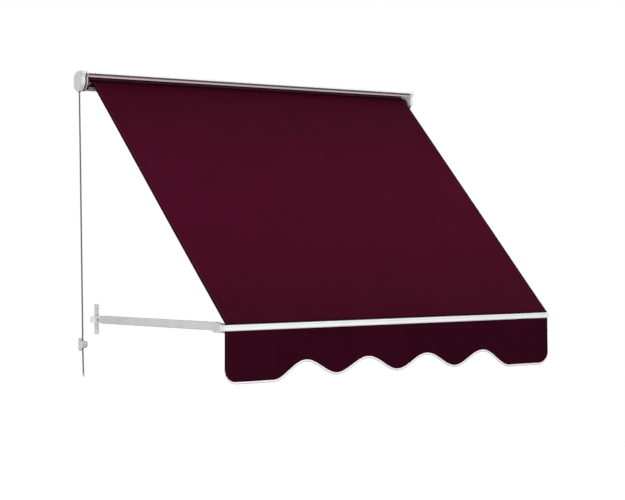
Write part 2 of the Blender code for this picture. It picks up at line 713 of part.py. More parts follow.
def valance_edge():
    """The lower edge of the valance cloth from its left side to its right, as (x, z)."""
    trough = BAR_BOTTOM_Z - SCALLOP_TROUGH_DROP
    crest = BAR_BOTTOM_Z - SCALLOP_CREST_DROP
    flat = BAR_BOTTOM_Z - VALANCE_DROP
    half = VALANCE_WIDTH / 2
    last_crest = 1.5 * SCALLOP_PITCH
    flat_start = 2 * SCALLOP_PITCH
    right = []
    steps = int(EDGE_STEPS * 3 / 2)
    for k in range(steps + 1):
        x = last_crest * k / steps
        share = (1 - math.cos(2 * math.pi * x / SCALLOP_PITCH)) / 2
        right.append((x, trough + (crest - trough) * share))
    fall = EDGE_STEPS // 2
    for k in range(1, fall + 1):
        x = last_crest + (flat_start - last_crest) * k / fall
        share = (1 + math.cos(math.pi * k / fall)) / 2
        right.append((x, flat + (crest - flat) * share))
    for k in range(CORNER_STEPS + 1):
        angle = math.pi / 2 * k / CORNER_STEPS
        across, up = CORNER_R * math.sin(angle), CORNER_R * (1 - math.cos(angle))
        right.append((half - CORNER_R + across, flat + up))
    left = [(-x, z) for x, z in reversed(right[1:])]
    return left + right


def make_valance():
    edge = valance_edge()
    half = VALANCE_WIDTH / 2
    top = BAR_BOTTOM_Z - 2 * CLEAR
    outline = [*edge, (half, top), (-half, top)]
    thick = CLOTH_THICKNESS / 2
    finish("valance", prism("Y", KEDER_Y - thick, KEDER_Y + thick, outline), VALANCE_CLOTH, front_bar_axis)

    count = len(edge)
    inner, outer = [], []
    for i, (x, z) in enumerate(edge):
        a, b = Vector(edge[max(i - 1, 0)]), Vector(edge[min(i + 1, count - 1)])
        along = (b - a).normalized()
        normal = Vector((along.y, -along.x))
        inner.append(tuple(Vector((x, z)) + normal * CLEAR))
        outer.append(tuple(Vector((x, z)) + normal * BINDING_WIDTH))
    band = BINDING_THICKNESS / 2
    outline = inner + outer[::-1]
    strip = prism("Y", KEDER_Y - band, KEDER_Y + band, outline)
    finish("valance_binding", strip, WHITE_BRAID, front_bar_axis)


def make_wall_plate(side, sign):
    """Cross shaped plate with two ears for the arm's pivot."""
    x, z = sign * ARM_X, ARM_PIVOT_Z
    w, h = PLATE_WIDTH / 2, PLATE_HEIGHT / 2
    sw, sh = PLATE_SIDE_SPAN / 2, PLATE_SIDE_HEIGHT / 2
    r, inner = PLATE_CORNER, PLATE_INNER_CORNER
    cross = filleted(
        [
            (x - w, z - h, r), (x + w, z - h, r), (x + w, z - sh, inner), (x + sw, z - sh, r),
            (x + sw, z + sh, r), (x + w, z + sh, inner), (x + w, z + h, r), (x - w, z + h, r),
            (x - w, z + sh, inner), (x - sw, z + sh, r), (x - sw, z - sh, r), (x - w, z - sh, inner),
        ],
        3,
    )
    side_screw = sw - SIDE_SCREW_EDGE
    places = [(x, z + h - SCREW_EDGE), (x, z - h + SCREW_EDGE), (x - side_screw, z), (x + side_screw, z)]
    holes = [circle(px, pz, PLATE_SCREW_R, 16) for px, pz in places]
    plate = finish(f"wall_plate_{side}", prism("Y", -PLATE_THICKNESS, 0, cross, holes), WHITE_COAT)
    ear_in = ARM_WIDTH / 2 + CLEAR
    front = ARM_PIVOT_Y - EYE_R
    ear = filleted(
        [
            (-PLATE_THICKNESS / 2, z - EYE_R, 0),
            (front, z - EYE_R, EYE_R * 0.98),
            (front, z + EYE_R, EYE_R * 0.98),
            (-PLATE_THICKNESS / 2, z + EYE_R, 0),
        ],
        6,
    )
    bolt_hole = [circle(ARM_PIVOT_Y, z, PIVOT_BOLT_R + CLEAR, 16)]
    for direction in (-1, 1):
        span = sorted((x + direction * ear_in, x + direction * (ear_in + EAR_THICKNESS)))
        cut(plate, prism("X", *span, ear, bolt_hole), "UNION")

    outer = ear_in + EAR_THICKNESS + CLEAR
    out = sign * outer
    head = sign * (outer + PIVOT_HEAD)
    tip = -sign * (outer + NUT_HEIGHT + BOLT_TIP)
    bolt_profile = [
        (x + tip, 0.0), (x + tip, PIVOT_BOLT_R), (x + out, PIVOT_BOLT_R), (x + out, PIVOT_HEAD_R),
        (x + head, PIVOT_HEAD_R * 0.82), (x + head, 0.0),
    ]
    finish(f"pivot_bolt_{side}", turned_x(bolt_profile, ARM_PIVOT_Y, z, 16), ZINC, smooth=True)
    nut_span = sorted((x - out, x - sign * (outer + NUT_HEIGHT)))
    nut_hole = [circle(ARM_PIVOT_Y, z, PIVOT_BOLT_R + CLEAR, 16)]
    finish(f"pivot_nut_{side}", prism("X", *nut_span, circle(ARM_PIVOT_Y, z, NUT_R, 6), nut_hole), ZINC)


def arm_section(x, inset):
    """The arm tube's section across Y, as (x, z)."""
    w, h = ARM_WIDTH / 2 - inset, ARM_HEIGHT / 2 - inset
    r = max(ARM_CORNER - inset, 0.0004)
    z = ARM_PIVOT_Z
    return filleted([(x - w, z - h, r), (x + w, z - h, r), (x + w, z + h, r), (x - w, z + h, r)], 3)


def make_arm(side, sign, axis):
    x = sign * ARM_X
    tube_back = ARM_PIVOT_Y - ARM_TUBE_START
    tube_front = FRONT_PIVOT_Y + KNUCKLE_LENGTH
    tube = prism("Y", tube_front, tube_back, arm_section(x, 0.0), [arm_section(x, ARM_WALL)])
    finish(f"arm_tube_{side}", tube, WHITE_COAT, axis)

    z = ARM_PIVOT_Z
    w = ARM_WIDTH / 2
    collar = tube_back + CLEAR
    eye = filleted(
        [
            (ARM_PIVOT_Y + EYE_R, z - EYE_R, EYE_R * 0.98),
            (ARM_PIVOT_Y + EYE_R, z + EYE_R, EYE_R * 0.98),
            (ARM_PIVOT_Y - EYE_R, z + EYE_R, 0.002),
            (collar, z + ARM_HEIGHT / 2, 0.0),
            (collar, z - ARM_HEIGHT / 2, 0.0),
            (ARM_PIVOT_Y - EYE_R, z - EYE_R, 0.002),
        ],
        6,
    )
    hole = [circle(ARM_PIVOT_Y, z, PIVOT_BOLT_R + CLEAR, 16)]
    block = prism("X", x - w, x + w, eye, hole)
    rear = finish(f"rear_fitting_{side}", block, PALE_MOULDING, axis, smooth=True)
    spigot = arm_section(x, ARM_WALL + CLEAR)
    cut(rear, prism("Y", tube_back - ARM_SPIGOT, collar + CLEAR, spigot), "UNION")

    fz = FRONT_PIVOT_Z
    fy = FRONT_PIVOT_Y
    face = tube_front - CLEAR
    body = filleted(
        [
            (face, z + ARM_HEIGHT / 2, 0.002),
            (face, z - ARM_HEIGHT / 2, 0.002),
            (face - KNUCKLE_ROOT, fz - KNUCKLE_BOTTOM, 0.004),
            (fy + KNUCKLE_SHOULDER, fz - KNUCKLE_BOTTOM, 0.004),
            (fy + KNUCKLE_SHOULDER, fz + KNUCKLE_TOP, 0.004),
            (face - KNUCKLE_ROOT, z + ARM_HEIGHT / 2, 0.002),
        ],
        4,
    )
    block = prism("X", x - w, x + w, body)
    knuckle = finish(f"front_knuckle_{side}", block, PALE_MOULDING, axis, smooth=True)
    cut(knuckle, prism("Y", face - CLEAR, tube_front + ARM_SPIGOT, spigot), "UNION")
    tongue = filleted(
        [
            (fy + KNUCKLE_SHOULDER + 0.004, fz - FRONT_EYE_R, 0),
            (fy + KNUCKLE_SHOULDER + 0.004, fz + FRONT_EYE_R, 0),
            (fy - FRONT_EYE_R, fz + FRONT_EYE_R, FRONT_EYE_R * 0.98),
            (fy - FRONT_EYE_R, fz - FRONT_EYE_R, FRONT_EYE_R * 0.98),
        ],
        6,
    )
    pin_hole = [circle(fy, fz, FRONT_PIN_R + CLEAR, 16)]
    half = TONGUE_WIDTH / 2
    cut(knuckle, prism("X", x - half, x + half, tongue, pin_hole), "UNION")

    ear_out = half + CLEAR + LUG_EAR + CLEAR
    tip = sign * (ear_out + FRONT_PIN_HEAD)
    shoulder = sign * ear_out
    profile = [
        (x - tip, 0.0), (x - tip, FRONT_PIN_HEAD_R * 0.8),
        (x - shoulder, FRONT_PIN_HEAD_R), (x - shoulder, FRONT_PIN_R),
        (x + shoulder, FRONT_PIN_R), (x + shoulder, FRONT_PIN_HEAD_R),
        (x + tip, FRONT_PIN_HEAD_R * 0.8), (x + tip, 0.0),
    ]
    finish(f"front_pin_{side}", turned_x(profile, fy, fz, 16), ZINC, axis, smooth=True)


def make_bar_lug(side, sign, bar):
    """The forked lug on the back of the bar, and the two rivets that hold it."""
    x = sign * ARM_X
    fy, fz = FRONT_PIVOT_Y, FRONT_PIVOT_Z
    back = BAR_BACK_Y + CLEAR
    face = back + LUG_PLATE
    top, bottom = BAR_TOP_Z - LUG_TOP_INSET, BAR_BOTTOM_Z + LUG_BOTTOM_INSET
    wide = LUG_WIDTH / 2
    rivet_x = wide - LUG_RIVET_EDGE
    places = [(x - rivet_x, BAR_MIDDLE_Z), (x + rivet_x, BAR_MIDDLE_Z)]
    r = LUG_CORNER
    corners = [(x - wide, bottom, r), (x + wide, bottom, r), (x + wide, top, r), (x - wide, top, r)]
    holes = [circle(px, pz, LUG_RIVET_R + CLEAR, 12) for px, pz in places]
    plate = prism("Y", back, face, filleted(corners, 3), holes)
    lug = finish(f"bar_lug_{side}", plate, PALE_MOULDING, front_bar_axis)
    ear = filleted(
        [
            (face - LUG_PLATE / 2, fz - FRONT_EYE_R, 0),
            (face - LUG_PLATE / 2, fz + FRONT_EYE_R, 0),
            (fy + FRONT_EYE_R, fz + FRONT_EYE_R, FRONT_EYE_R * 0.98),
            (fy + FRONT_EYE_R, fz - FRONT_EYE_R, FRONT_EYE_R * 0.98),
        ],
        6,
    )
    pin_hole = [circle(fy, fz, FRONT_PIN_R + CLEAR, 16)]
    start = TONGUE_WIDTH / 2 + CLEAR
    for direction in (-1, 1):
        span = sorted((x + direction * start, x + direction * (start + LUG_EAR)))
        cut(lug, prism("X", *span, ear, pin_hole), "UNION")

    inside = BAR_BACK_Y - BAR_WALL - CLEAR
    outside = face + CLEAR
    profile = [
        (inside - RIVET_BULB, 0.0), (inside - RIVET_BULB, RIVET_BULB_R * 0.8), (inside, RIVET_BULB_R),
        (inside, LUG_RIVET_R), (outside, LUG_RIVET_R), (outside, RIVET_HEAD_R),
        (outside + RIVET_HEAD * 0.6, RIVET_HEAD_R * 0.8), (outside + RIVET_HEAD, 0.0),
    ]
    for which, (px, pz) in zip(("first", "second"), places):
        hole = circle(px, pz, LUG_RIVET_R + CLEAR, 12)
        cut(bar, prism("Y", BAR_BACK_Y - 2 * BAR_WALL, BAR_BACK_Y + BAR_WALL, hole))
        rivet = turned_y(profile, px, pz)
        finish(f"lug_rivet_{side}_{which}", rivet, BARE_ALUMINIUM, front_bar_axis, smooth=True)


def make_cord_lock():
    x, cord_y, z = CORD_LOCK_POINT
    w, h = LOCK_WIDTH / 2, LOCK_HEIGHT / 2
    r = LOCK_CORNER
    corners = [(x - w, z - h, r), (x + w, z - h, r), (x + w, z + h, r), (x - w, z + h, r)]
    screw_z = h - LOCK_SCREW_EDGE
    holes = [circle(x, z + screw_z, LOCK_SCREW_R, 12), circle(x, z - screw_z, LOCK_SCREW_R, 12)]
    finish("lock_base", prism("Y", -LOCK_PLATE, 0, filleted(corners, 3), holes), PALE_MOULDING)

    base = -LOCK_PLATE - CLEAR
    body_h = h - LOCK_BODY_INSET
    moon = [
        (base, z - body_h, 0.0), (-LOCK_DEPTH, z - body_h, LOCK_NOSE_LOW_R),
        (-LOCK_DEPTH, z + body_h, LOCK_NOSE_HIGH_R), (base, z + body_h, 0.0),
    ]
    side = w - LOCK_SIDE_INSET
    back, nose = base - LOCK_WALL, -LOCK_DEPTH + LOCK_WALL
    low, high = z - body_h + LOCK_WALL, z + body_h - LOCK_WALL
    hollow = [
        (back, low, 0.0), (nose, low, LOCK_NOSE_LOW_R - LOCK_WALL),
        (nose, high, LOCK_NOSE_HIGH_R - LOCK_WALL), (back, high, 0.0),
    ]
    pin_hole = [circle(CAM_Y, z, CAM_PIN_R + CLEAR, 12)]
    shell = prism("X", x - side, x + side, filleted(moon, 6), pin_hole)
    housing = finish("lock_housing", shell, PALE_MOULDING, smooth=True)
    cut(housing, prism("X", x - side + LOCK_WALL, x + side - LOCK_WALL, filleted(hollow, 6)))
    slot = box_outline(x - LOCK_SLOT / 2, x + LOCK_SLOT / 2, cord_y - LOCK_SLOT / 2, cord_y + LOCK_SLOT / 2)
    cut(housing, prism("Z", z - 2 * h, z + 2 * h, slot))

    cam_outline = circle(CAM_Y - CAM_OFFSET / 2, z, CAM_R, 20)
    cam_hole = [circle(CAM_Y, z, CAM_PIN_R + CLEAR, 12)]
    cam = prism("X", x - CAM_WIDTH / 2, x + CAM_WIDTH / 2, cam_outline, cam_hole)
    finish("lock_cam", cam, DARK_NYLON, lock_cam_axis, smooth=True)
    end = side + CLEAR
    tip = end + CAM_PIN_HEAD
    profile = [
        (x - tip, 0.0), (x - tip, CAM_PIN_HEAD_R * 0.9), (x - end, CAM_PIN_HEAD_R), (x - end, CAM_PIN_R),
        (x + end, CAM_PIN_R), (x + end, CAM_PIN_HEAD_R), (x + tip, CAM_PIN_HEAD_R * 0.9), (x + tip, 0.0),
    ]
    finish("lock_pin", turned_x(profile, CAM_Y, z, 12), ZINC, smooth=True)


def cord_route():
    """The cord's line from the drum down through the lock to its end, nearly straight."""
    top, lock, end = Vector(CORD_TOP), Vector(CORD_LOCK_POINT), Vector(CORD_END)
    upper = [top, top + Vector((0, 0, -0.030))]
    middle = [top.lerp(lock, share) for share in (0.25, 0.5, 0.75, 0.93)]
    lower = [lock + Vector((0, 0, -0.020)), end]
    return [*upper, *middle, lock, *lower]


def smooth_path(points, spacing):
    """Points read at an even spacing from a smooth curve through the route's own points."""
    padded = [2 * points[0] - points[1], *points, 2 * points[-1] - points[-2]]
    fine = []
    for i in range(1, len(padded) - 2):
        p0, p1, p2, p3 = padded[i - 1 : i + 3]
        knots = [0.0]
        for a, b in ((p0, p1), (p1, p2), (p2, p3)):
            knots.append(knots[-1] + max((b - a).length, 1e-6) ** 0.5)
        t0, t1, t2, t3 = knots
        for k in range(24):
            t = t1 + (t2 - t1) * k / 24
            a1 = p0.lerp(p1, (t - t0) / (t1 - t0))
            a2 = p1.lerp(p2, (t - t1) / (t2 - t1))
            a3 = p2.lerp(p3, (t - t2) / (t3 - t2))
            b1 = a1.lerp(a2, (t - t0) / (t2 - t0))
            b2 = a2.lerp(a3, (t - t1) / (t3 - t1))
            fine.append(b1.lerp(b2, (t - t1) / (t2 - t1)))
    fine.append(points[-1])
    total = sum((b - a).length for a, b in zip(fine, fine[1:]))
    count = round(total / spacing)
    step = total / count
    even, walked, target = [fine[0]], 0.0, step
    for a, b in zip(fine, fine[1:]):
        length = (b - a).length
        while walked + length >= target - 1e-9 and len(even) < count:
            even.append(a.lerp(b, (target - walked) / length))
            target += step
        walked += length
    even.append(fine[-1])
    return even


def make_cord():
    curve = bpy.data.curves.new("pull_cord", "CURVE")
    curve.dimensions = "3D"
    curve.bevel_depth = CORD_R
    curve.bevel_resolution = 2
    curve.use_fill_caps = True
    spline = curve.splines.new("POLY")
    path = smooth_path(cord_route(), 6 * CORD_R)
    spline.points.add(len(path) - 1)
    for point, place in zip(spline.points, path):
        point.co = (*place, 1.0)
    curve.materials.append(CORD_GREY)
    cord = bpy.data.objects.new("pull_cord", curve)
    bpy.context.collection.objects.link(cord)

    x, y, z = CORD_END
    top, floor = z + FERRULE_BITE, z - CLEAR
    bottom = top - FERRULE_LENGTH
    bore = CORD_R + CLEAR
    profile = [
        (top, bore), (top, FERRULE_R * 0.9), (top - FERRULE_NOSE, FERRULE_R), (bottom, FERRULE_R),
        (bottom - FERRULE_NOSE, FERRULE_R * 0.7), (bottom - FERRULE_NOSE, 0.0), (floor, 0.0), (floor, bore),
    ]
    finish("cord_ferrule", turned_z(profile, x, y), PALE_MOULDING, smooth=True)


def main():
    make_hood()
    make_bracket("left", -1, NECK_OUTER_X)
    make_bracket("right", 1, RING_OUTER_X)
    left_cover = make_cover("left", -1, COVER_INNER_X, COVER_WIDTH, COVER_EDGE)
    make_cover("right", 1, RING_OUTER_X + CLEAR, FLAT_COVER_WIDTH, FLAT_COVER_EDGE)
    make_cord_outlet(left_cover)
    make_roller()
    make_drum()
    make_canopy()
    bar = make_front_bar()
    make_keders()
    make_valance()
    for side, sign, axis in (("left", -1, left_arm_axis), ("right", 1, right_arm_axis)):
        make_wall_plate(side, sign)
        make_arm(side, sign, axis)
        make_bar_lug(side, sign, bar)
    make_cord_lock()
    make_cord()


main()
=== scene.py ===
"""Looks of a drop arm window awning: wine red cloth, white coated metal, pale grey mouldings and a grey cord.

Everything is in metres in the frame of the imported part, with the wall at Y = 0 and the awning out along -Y.
"""

import math

import bpy
from mathutils import Matrix, Vector


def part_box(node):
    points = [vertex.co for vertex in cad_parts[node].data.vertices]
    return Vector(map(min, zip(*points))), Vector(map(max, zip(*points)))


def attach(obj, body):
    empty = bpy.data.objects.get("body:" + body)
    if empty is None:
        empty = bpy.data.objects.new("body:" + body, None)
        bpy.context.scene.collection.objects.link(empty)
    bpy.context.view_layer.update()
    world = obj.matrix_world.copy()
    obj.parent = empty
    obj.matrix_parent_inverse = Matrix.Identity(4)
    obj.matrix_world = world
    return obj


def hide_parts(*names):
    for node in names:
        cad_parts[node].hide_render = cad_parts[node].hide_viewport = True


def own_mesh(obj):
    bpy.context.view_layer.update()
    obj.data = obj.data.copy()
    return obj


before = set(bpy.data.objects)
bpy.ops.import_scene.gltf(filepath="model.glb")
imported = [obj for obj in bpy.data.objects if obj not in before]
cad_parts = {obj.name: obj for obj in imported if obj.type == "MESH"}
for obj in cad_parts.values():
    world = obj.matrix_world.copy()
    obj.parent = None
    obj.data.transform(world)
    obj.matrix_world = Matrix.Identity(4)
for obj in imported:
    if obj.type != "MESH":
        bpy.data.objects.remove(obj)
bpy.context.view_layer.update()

MM = 0.001
ALONG, TO_WALL, UP = Vector((1, 0, 0)), Vector((0, 1, 0)), Vector((0, 0, 1))
FAR = 1.0
MERGE = 1e-6
ROUNDING = 1e-9
SMOOTH = 40
SMOOTH_ROUND = 50

# Camera, from the photograph's perspective
CAMERA_PLACE = (-3.4041, -4.5556, -0.4529)
CAMERA_YAW = 39.4825
CAMERA_PITCH = -1.9013
CAMERA_ROLL = -0.1934
FOCAL_PX = 1835.2
IMAGE_WIDTH = 625
IMAGE_HEIGHT = 500
PRINCIPAL_PX = (340.0, 300.0)
SENSOR_MM = 36.0

# Head extrusion, measured down from its top, and the colours of painted shade and of the cloth's red as a
# painted reflection on its hidden places, its lips and the left bracket
WALL = 1.6 * MM
EDGE = 0.15 * MM
SOFT = 0.1 * MM
GROOVE_TOP_DROP = 5.0 * MM
GROOVE_FLOOR_DROP = 10.5 * MM
GROOVE_DEPTH = 8.0 * MM
GROOVE_SET_BACK = 0.6 * MM
GROOVE_PAST = 0.2 * MM
TOP_LIP_DROP = 15.5 * MM
SHOULDER = 16.0 * MM
BACK_DROP = 13.5 * MM
BOTTOM_LIP_RISE = 7.3 * MM
UNDERSIDE = 1.0 * MM
NECK_FROM_HEAD = 5.4 * MM
# Colours of painted shade, and of the cloth's red as a painted reflection, laid over the head's coat and the
# left bracket
INSIDE_PAINTED_SHADE = "551A2E"
GROOVE_PAINTED_SHADE = "6A5C62"
UPPER_LIP_PAINTED_REFLECTION = "B8A2AB"
LOWER_LIP_PAINTED_SHADE = "775A64"
UNDERSIDE_PAINTED_SHADE = "2E282B"
RING_PAINTED_REFLECTION = "B0A3A9"
NECK_PAINTED_SHADE = "2B282A"

# Cord and its ferrule
CORD_R = 2.2 * MM
CORD_TOP = (-0.6300, -0.0197, -0.0207)
CORD_LOCK_POINT = (-0.6210, -0.0120, -0.7535)
CORD_END = (-0.6205, -0.0135, -0.8425)
CORD_PLUMB = 30 * MM
CORD_BELOW_LOCK = 20 * MM
CORD_SHARES = (0.25, 0.5, 0.75, 0.93)
CURVE_STEPS = 24
CORD_SIDES = 20
STRAND = 1.6 * MM
STRANDS = 8
FERRULE_R = 3.1 * MM
FERRULE_LENGTH = 8.5 * MM
FERRULE_BITE = 5.0 * MM
FERRULE_PLAY = 0.1 * MM
FERRULE_LIP = 0.3 * MM
FERRULE_CROWN = 0.2 * MM
FERRULE_TOP_ROUND = 0.5 * MM
FERRULE_FOOT_ROUND = 1.2 * MM
FERRULE_END_GAP = 0.3 * MM
FERRULE_TAPER = 0.86
FERRULE_FACE = 0.6
FERRULE_SIDES = 28

# Canopy and the roll it comes from
CANOPY_WIDTH = 1.196
CLOTH = 0.6 * MM
PLY_GAP = 0.1 * MM
TUBE_R = 10.5 * MM
ROLL_TURNS = 2.0
ROLL_CLOTH = 0.8 * CLOTH
CANOPY_SAG = 3.0 * MM
EDGE_SAG = 0.35
CANOPY_RIPPLE = 0.9 * MM
RIPPLE_ACROSS = 21
RIPPLE_DOWN = 4
# Painted shade, darker towards the canopy's top and foot
PAINTED_SHADE_START = 0.05
PAINTED_SHADE_END = 0.62
ENDS_PAINTED_SHADE = "360216"
HEM_WIDTH = 10 * MM
FOOT_WIDTH = 5 * MM
BEAD_ROUND = 14 * MM
CANOPY_COLUMNS = 120
CANOPY_ROWS = 90
HEM_COLUMNS = 5
FOOT_ROWS = 3
ROLL_COLUMNS = 2
ROLL_ROWS = 100

# Patterns, yarns and stitches
NOISE_SPAN = (0.3, 0.7)
YARN_PITCH = 2 * MM
YARN_SHARE = 0.45
STITCH_PLACE = 0.86
STITCH_THICK = 0.9 * MM
STITCH_PITCH = 4 * MM
STITCH_SHARE = 0.72
WRAP_PITCH = 1.5 * MM

# Valance, its edge braid and the piping outside it
VALANCE_WIDTH = 1.200
VALANCE_DROP = 134.4 * MM
SCALLOP_PITCH = 220 * MM
SCALLOP_TROUGH_DROP = 125.0 * MM
SCALLOP_CREST_DROP = 84.9 * MM
SCALLOP_STEPS = 40
CORNER_R = 36 * MM
CORNER_STEPS = 14
CORNER_TAPER = 0.12
VALANCE_COLUMNS = 300
VALANCE_ROWS = 24
END_CROWDING = 0.25
CROWDING_TURN = 0.97
VALANCE_HEM = 8 * MM
VALANCE_HEM_INSET = 0.2 * MM
VALANCE_HEM_RISE = 0.5 * MM
VALANCE_HEM_COLUMNS = 6
BINDING_WIDTH = 4.6 * MM
BINDING_THICK = 2.0 * MM
BINDING_SIDES = 14
PIPING_R = 0.6 * MM
PIPING_STAND = 0.3 * MM
PIPING_SIDES = 10
VALANCE_WAVE = 2.2 * MM
SWAY_POWER = 1.5

# The valance's waves, each with its share of the height, its pitch in scallops and its phase
VALANCE_WAVES = ((1.0, 1.0, 0.4), (0.35, 0.43, 1.9))

# Floor and background
FLOOR_PLACE = (0, -1.5, -2.2)
FLOOR_SIZE = 16.0
FLOOR_LIFT = 0.95
WORLD_LEVEL = 0.66

# Lights, each with its name, place, aim, size and power
LIGHTS = (
    ("key", (1.4, -4.2, 3.0), (0, -0.3, -0.4), 3.0, 95),
    ("fill", (-3.5, -3.6, -1.2), (0, -0.3, -0.5), 2.2, 110),
)


# Camera and the cord's line
def make_camera():
    yaw, pitch, roll = (math.radians(angle) for angle in (CAMERA_YAW, CAMERA_PITCH, CAMERA_ROLL))
    ahead = Vector((math.sin(yaw) * math.cos(pitch), math.cos(yaw) * math.cos(pitch), math.sin(pitch)))
    level = Vector((math.cos(yaw), -math.sin(yaw), 0))
    up = level.cross(ahead)
    right = level * math.cos(roll) + up * math.sin(roll)
    above = up * math.cos(roll) - level * math.sin(roll)
    turn = Matrix((right, above, -ahead)).transposed()
    data = bpy.data.cameras.new("camera")
    data.sensor_width = SENSOR_MM
    data.lens = FOCAL_PX / IMAGE_WIDTH * SENSOR_MM
    data.shift_x = (IMAGE_WIDTH / 2 - PRINCIPAL_PX[0]) / IMAGE_WIDTH
    data.shift_y = (PRINCIPAL_PX[1] - IMAGE_HEIGHT / 2) / IMAGE_WIDTH
    camera = bpy.data.objects.new("camera", data)
    camera.matrix_world = Matrix.Translation(CAMERA_PLACE) @ turn.to_4x4()
    bpy.context.scene.collection.objects.link(camera)
    bpy.context.scene.camera = camera


def cord_route():
    """The cord's line from the drum down through the lock to its end, nearly straight."""
    top, lock, end = Vector(CORD_TOP), Vector(CORD_LOCK_POINT), Vector(CORD_END)
    middle = [top.lerp(lock, share) for share in CORD_SHARES]
    return [top, top - UP * CORD_PLUMB, *middle, lock, lock - UP * CORD_BELOW_LOCK, end]


def smooth_path(points, spacing):
    """Points read at an even spacing from a smooth curve through the route's own points."""
    padded = [2 * points[0] - points[1], *points, 2 * points[-1] - points[-2]]
    fine = []
    for i in range(1, len(padded) - 2):
        p0, p1, p2, p3 = padded[i - 1 : i + 3]
        knots = [0.0]
        for a, b in ((p0, p1), (p1, p2), (p2, p3)):
            knots.append(knots[-1] + max((b - a).length, MERGE) ** 0.5)
        t0, t1, t2, t3 = knots
        for k in range(CURVE_STEPS):
            t = t1 + (t2 - t1) * k / CURVE_STEPS
            a1 = p0.lerp(p1, (t - t0) / (t1 - t0))
            a2 = p1.lerp(p2, (t - t1) / (t2 - t1))
            a3 = p2.lerp(p3, (t - t2) / (t3 - t2))
            b1 = a1.lerp(a2, (t - t0) / (t2 - t0))
            b2 = a2.lerp(a3, (t - t1) / (t3 - t1))
            fine.append(b1.lerp(b2, (t - t1) / (t2 - t1)))
    fine.append(points[-1])
    total = path_length(fine)
    count = round(total / spacing)
    step = total / count
    even, walked, target = [fine[0]], 0.0, step
    for a, b in zip(fine, fine[1:]):
        length = (b - a).length
        while walked + length >= target - ROUNDING and len(even) < count:
            even.append(a.lerp(b, (target - walked) / length))
            target += step
        walked += length
    even.append(fine[-1])
    return even


def path_length(path):
    return sum((b - a).length for a, b in zip(path, path[1:]))


# Colours and shader nodes
def colour(hex_colour):
    """An sRGB hex value as the linear colour that a shader takes."""
    channels = [int(hex_colour[i : i + 2], 16) / 255 for i in (0, 2, 4)]
    return (*[c / 12.92 if c <= 0.04045 else ((c + 0.055) / 1.055) ** 2.4 for c in channels], 1.0)


def add_node(tree, kind, links=(), **settings):
    """Adds a node, sets its properties, and links or fills the sockets given as {socket: source or value}."""
    node = tree.nodes.new(kind)
    for key, value in settings.items():
        setattr(node, key, value)
    for socket, source in dict(links).items():
        if isinstance(source, bpy.types.NodeSocket):
            tree.links.new(source, node.inputs[socket])
        else:
            node.inputs[socket].default_value = source
    return node


def new_material(name, base, roughness, **sockets):
    """A material of one colour and roughness, with its shader's other sockets as given."""
    made = bpy.data.materials.new(name)
    made.use_nodes = True
    shader = made.node_tree.nodes["Principled BSDF"]
    shader.inputs["Base Color"].default_value = colour(base)
    shader.inputs["Roughness"].default_value = roughness
    for socket, value in sockets.items():
        shader.inputs[socket.replace("_", " ")].default_value = value
    return made


def drive(made, socket, source):
    """Links a source to a socket of the material's shader."""
    tree = made.node_tree
    tree.links.new(source, tree.nodes["Principled BSDF"].inputs[socket])


def surface_noise(made, size, detail=3.0, stretch=(1, 1, 1)):
    """A cloudy pattern whose grains are about the given real size, in object coordinates."""
    tree = made.node_tree
    place = add_node(tree, "ShaderNodeTexCoord")
    mapping = add_node(tree, "ShaderNodeMapping", {"Vector": place.outputs["Object"], "Scale": stretch})
    links = {"Vector": mapping.outputs["Vector"], "Scale": 1 / size, "Detail": detail}
    return add_node(tree, "ShaderNodeTexNoise", links).outputs["Fac"]


def dress_surface(made, pattern, span=NOISE_SPAN, shades=None, roughness=None, relief=None):
    """Lets a pattern drive a material's shades (dark, light), roughness (low, high) and relief.

    Span is the part of the pattern's range that counts, for noise its middle. Relief is (strength, depth).
    """
    tree = made.node_tree
    links = {"Value": pattern, "From Min": span[0], "From Max": span[1]}
    if shades:
        share = add_node(tree, "ShaderNodeMapRange", links).outputs["Result"]
        mixed = {"Factor": share, 6: colour(shades[0]), 7: colour(shades[1])}
        drive(made, "Base Color", add_node(tree, "ShaderNodeMix", mixed, data_type="RGBA").outputs[2])
    if roughness:
        links = {**links, "To Min": roughness[0], "To Max": roughness[1]}
        drive(made, "Roughness", add_node(tree, "ShaderNodeMapRange", links).outputs["Result"])
    if relief:
        links = {"Height": pattern, "Strength": relief[0], "Distance": relief[1]}
        drive(made, "Normal", add_node(tree, "ShaderNodeBump", links).outputs["Normal"])


def zone(made, *limits):
    """1 where every limit (direction, low, high) holds, else 0, with edges softened by SOFT to each side."""
    tree = made.node_tree
    place = add_node(tree, "ShaderNodeTexCoord").outputs["Object"]
    whole = 1.0
    for direction, low, high in limits:
        links = {0: place, 1: direction}
        reach = add_node(tree, "ShaderNodeVectorMath", links, operation="DOT_PRODUCT").outputs["Value"]
        for level, soft in ((low, SOFT), (high, -SOFT)):
            links = {"Value": reach, "From Min": level - soft, "From Max": level + soft}
            edge = add_node(tree, "ShaderNodeMapRange", links).outputs["Result"]
            whole = add_node(tree, "ShaderNodeMath", {0: whole, 1: edge}, operation="MULTIPLY").outputs[0]
    return whole


def paint(made, share, shade):
    """Lays a shade over a material's colour, as much of it as the share says."""
    tree = made.node_tree
    base = tree.nodes["Principled BSDF"].inputs["Base Color"].links[0].from_socket
    links = {"Factor": share, 6: base, 7: colour(shade)}
    drive(made, "Base Color", add_node(tree, "ShaderNodeMix", links, data_type="RGBA").outputs[2])


def uv_place(tree):
    """The two coordinates of the piece's own UV map, each from 0 to 1."""
    place = add_node(tree, "ShaderNodeUVMap")
    parts = add_node(tree, "ShaderNodeSeparateXYZ", {"Vector": place.outputs["UV"]})
    return parts.outputs["X"], parts.outputs["Y"]


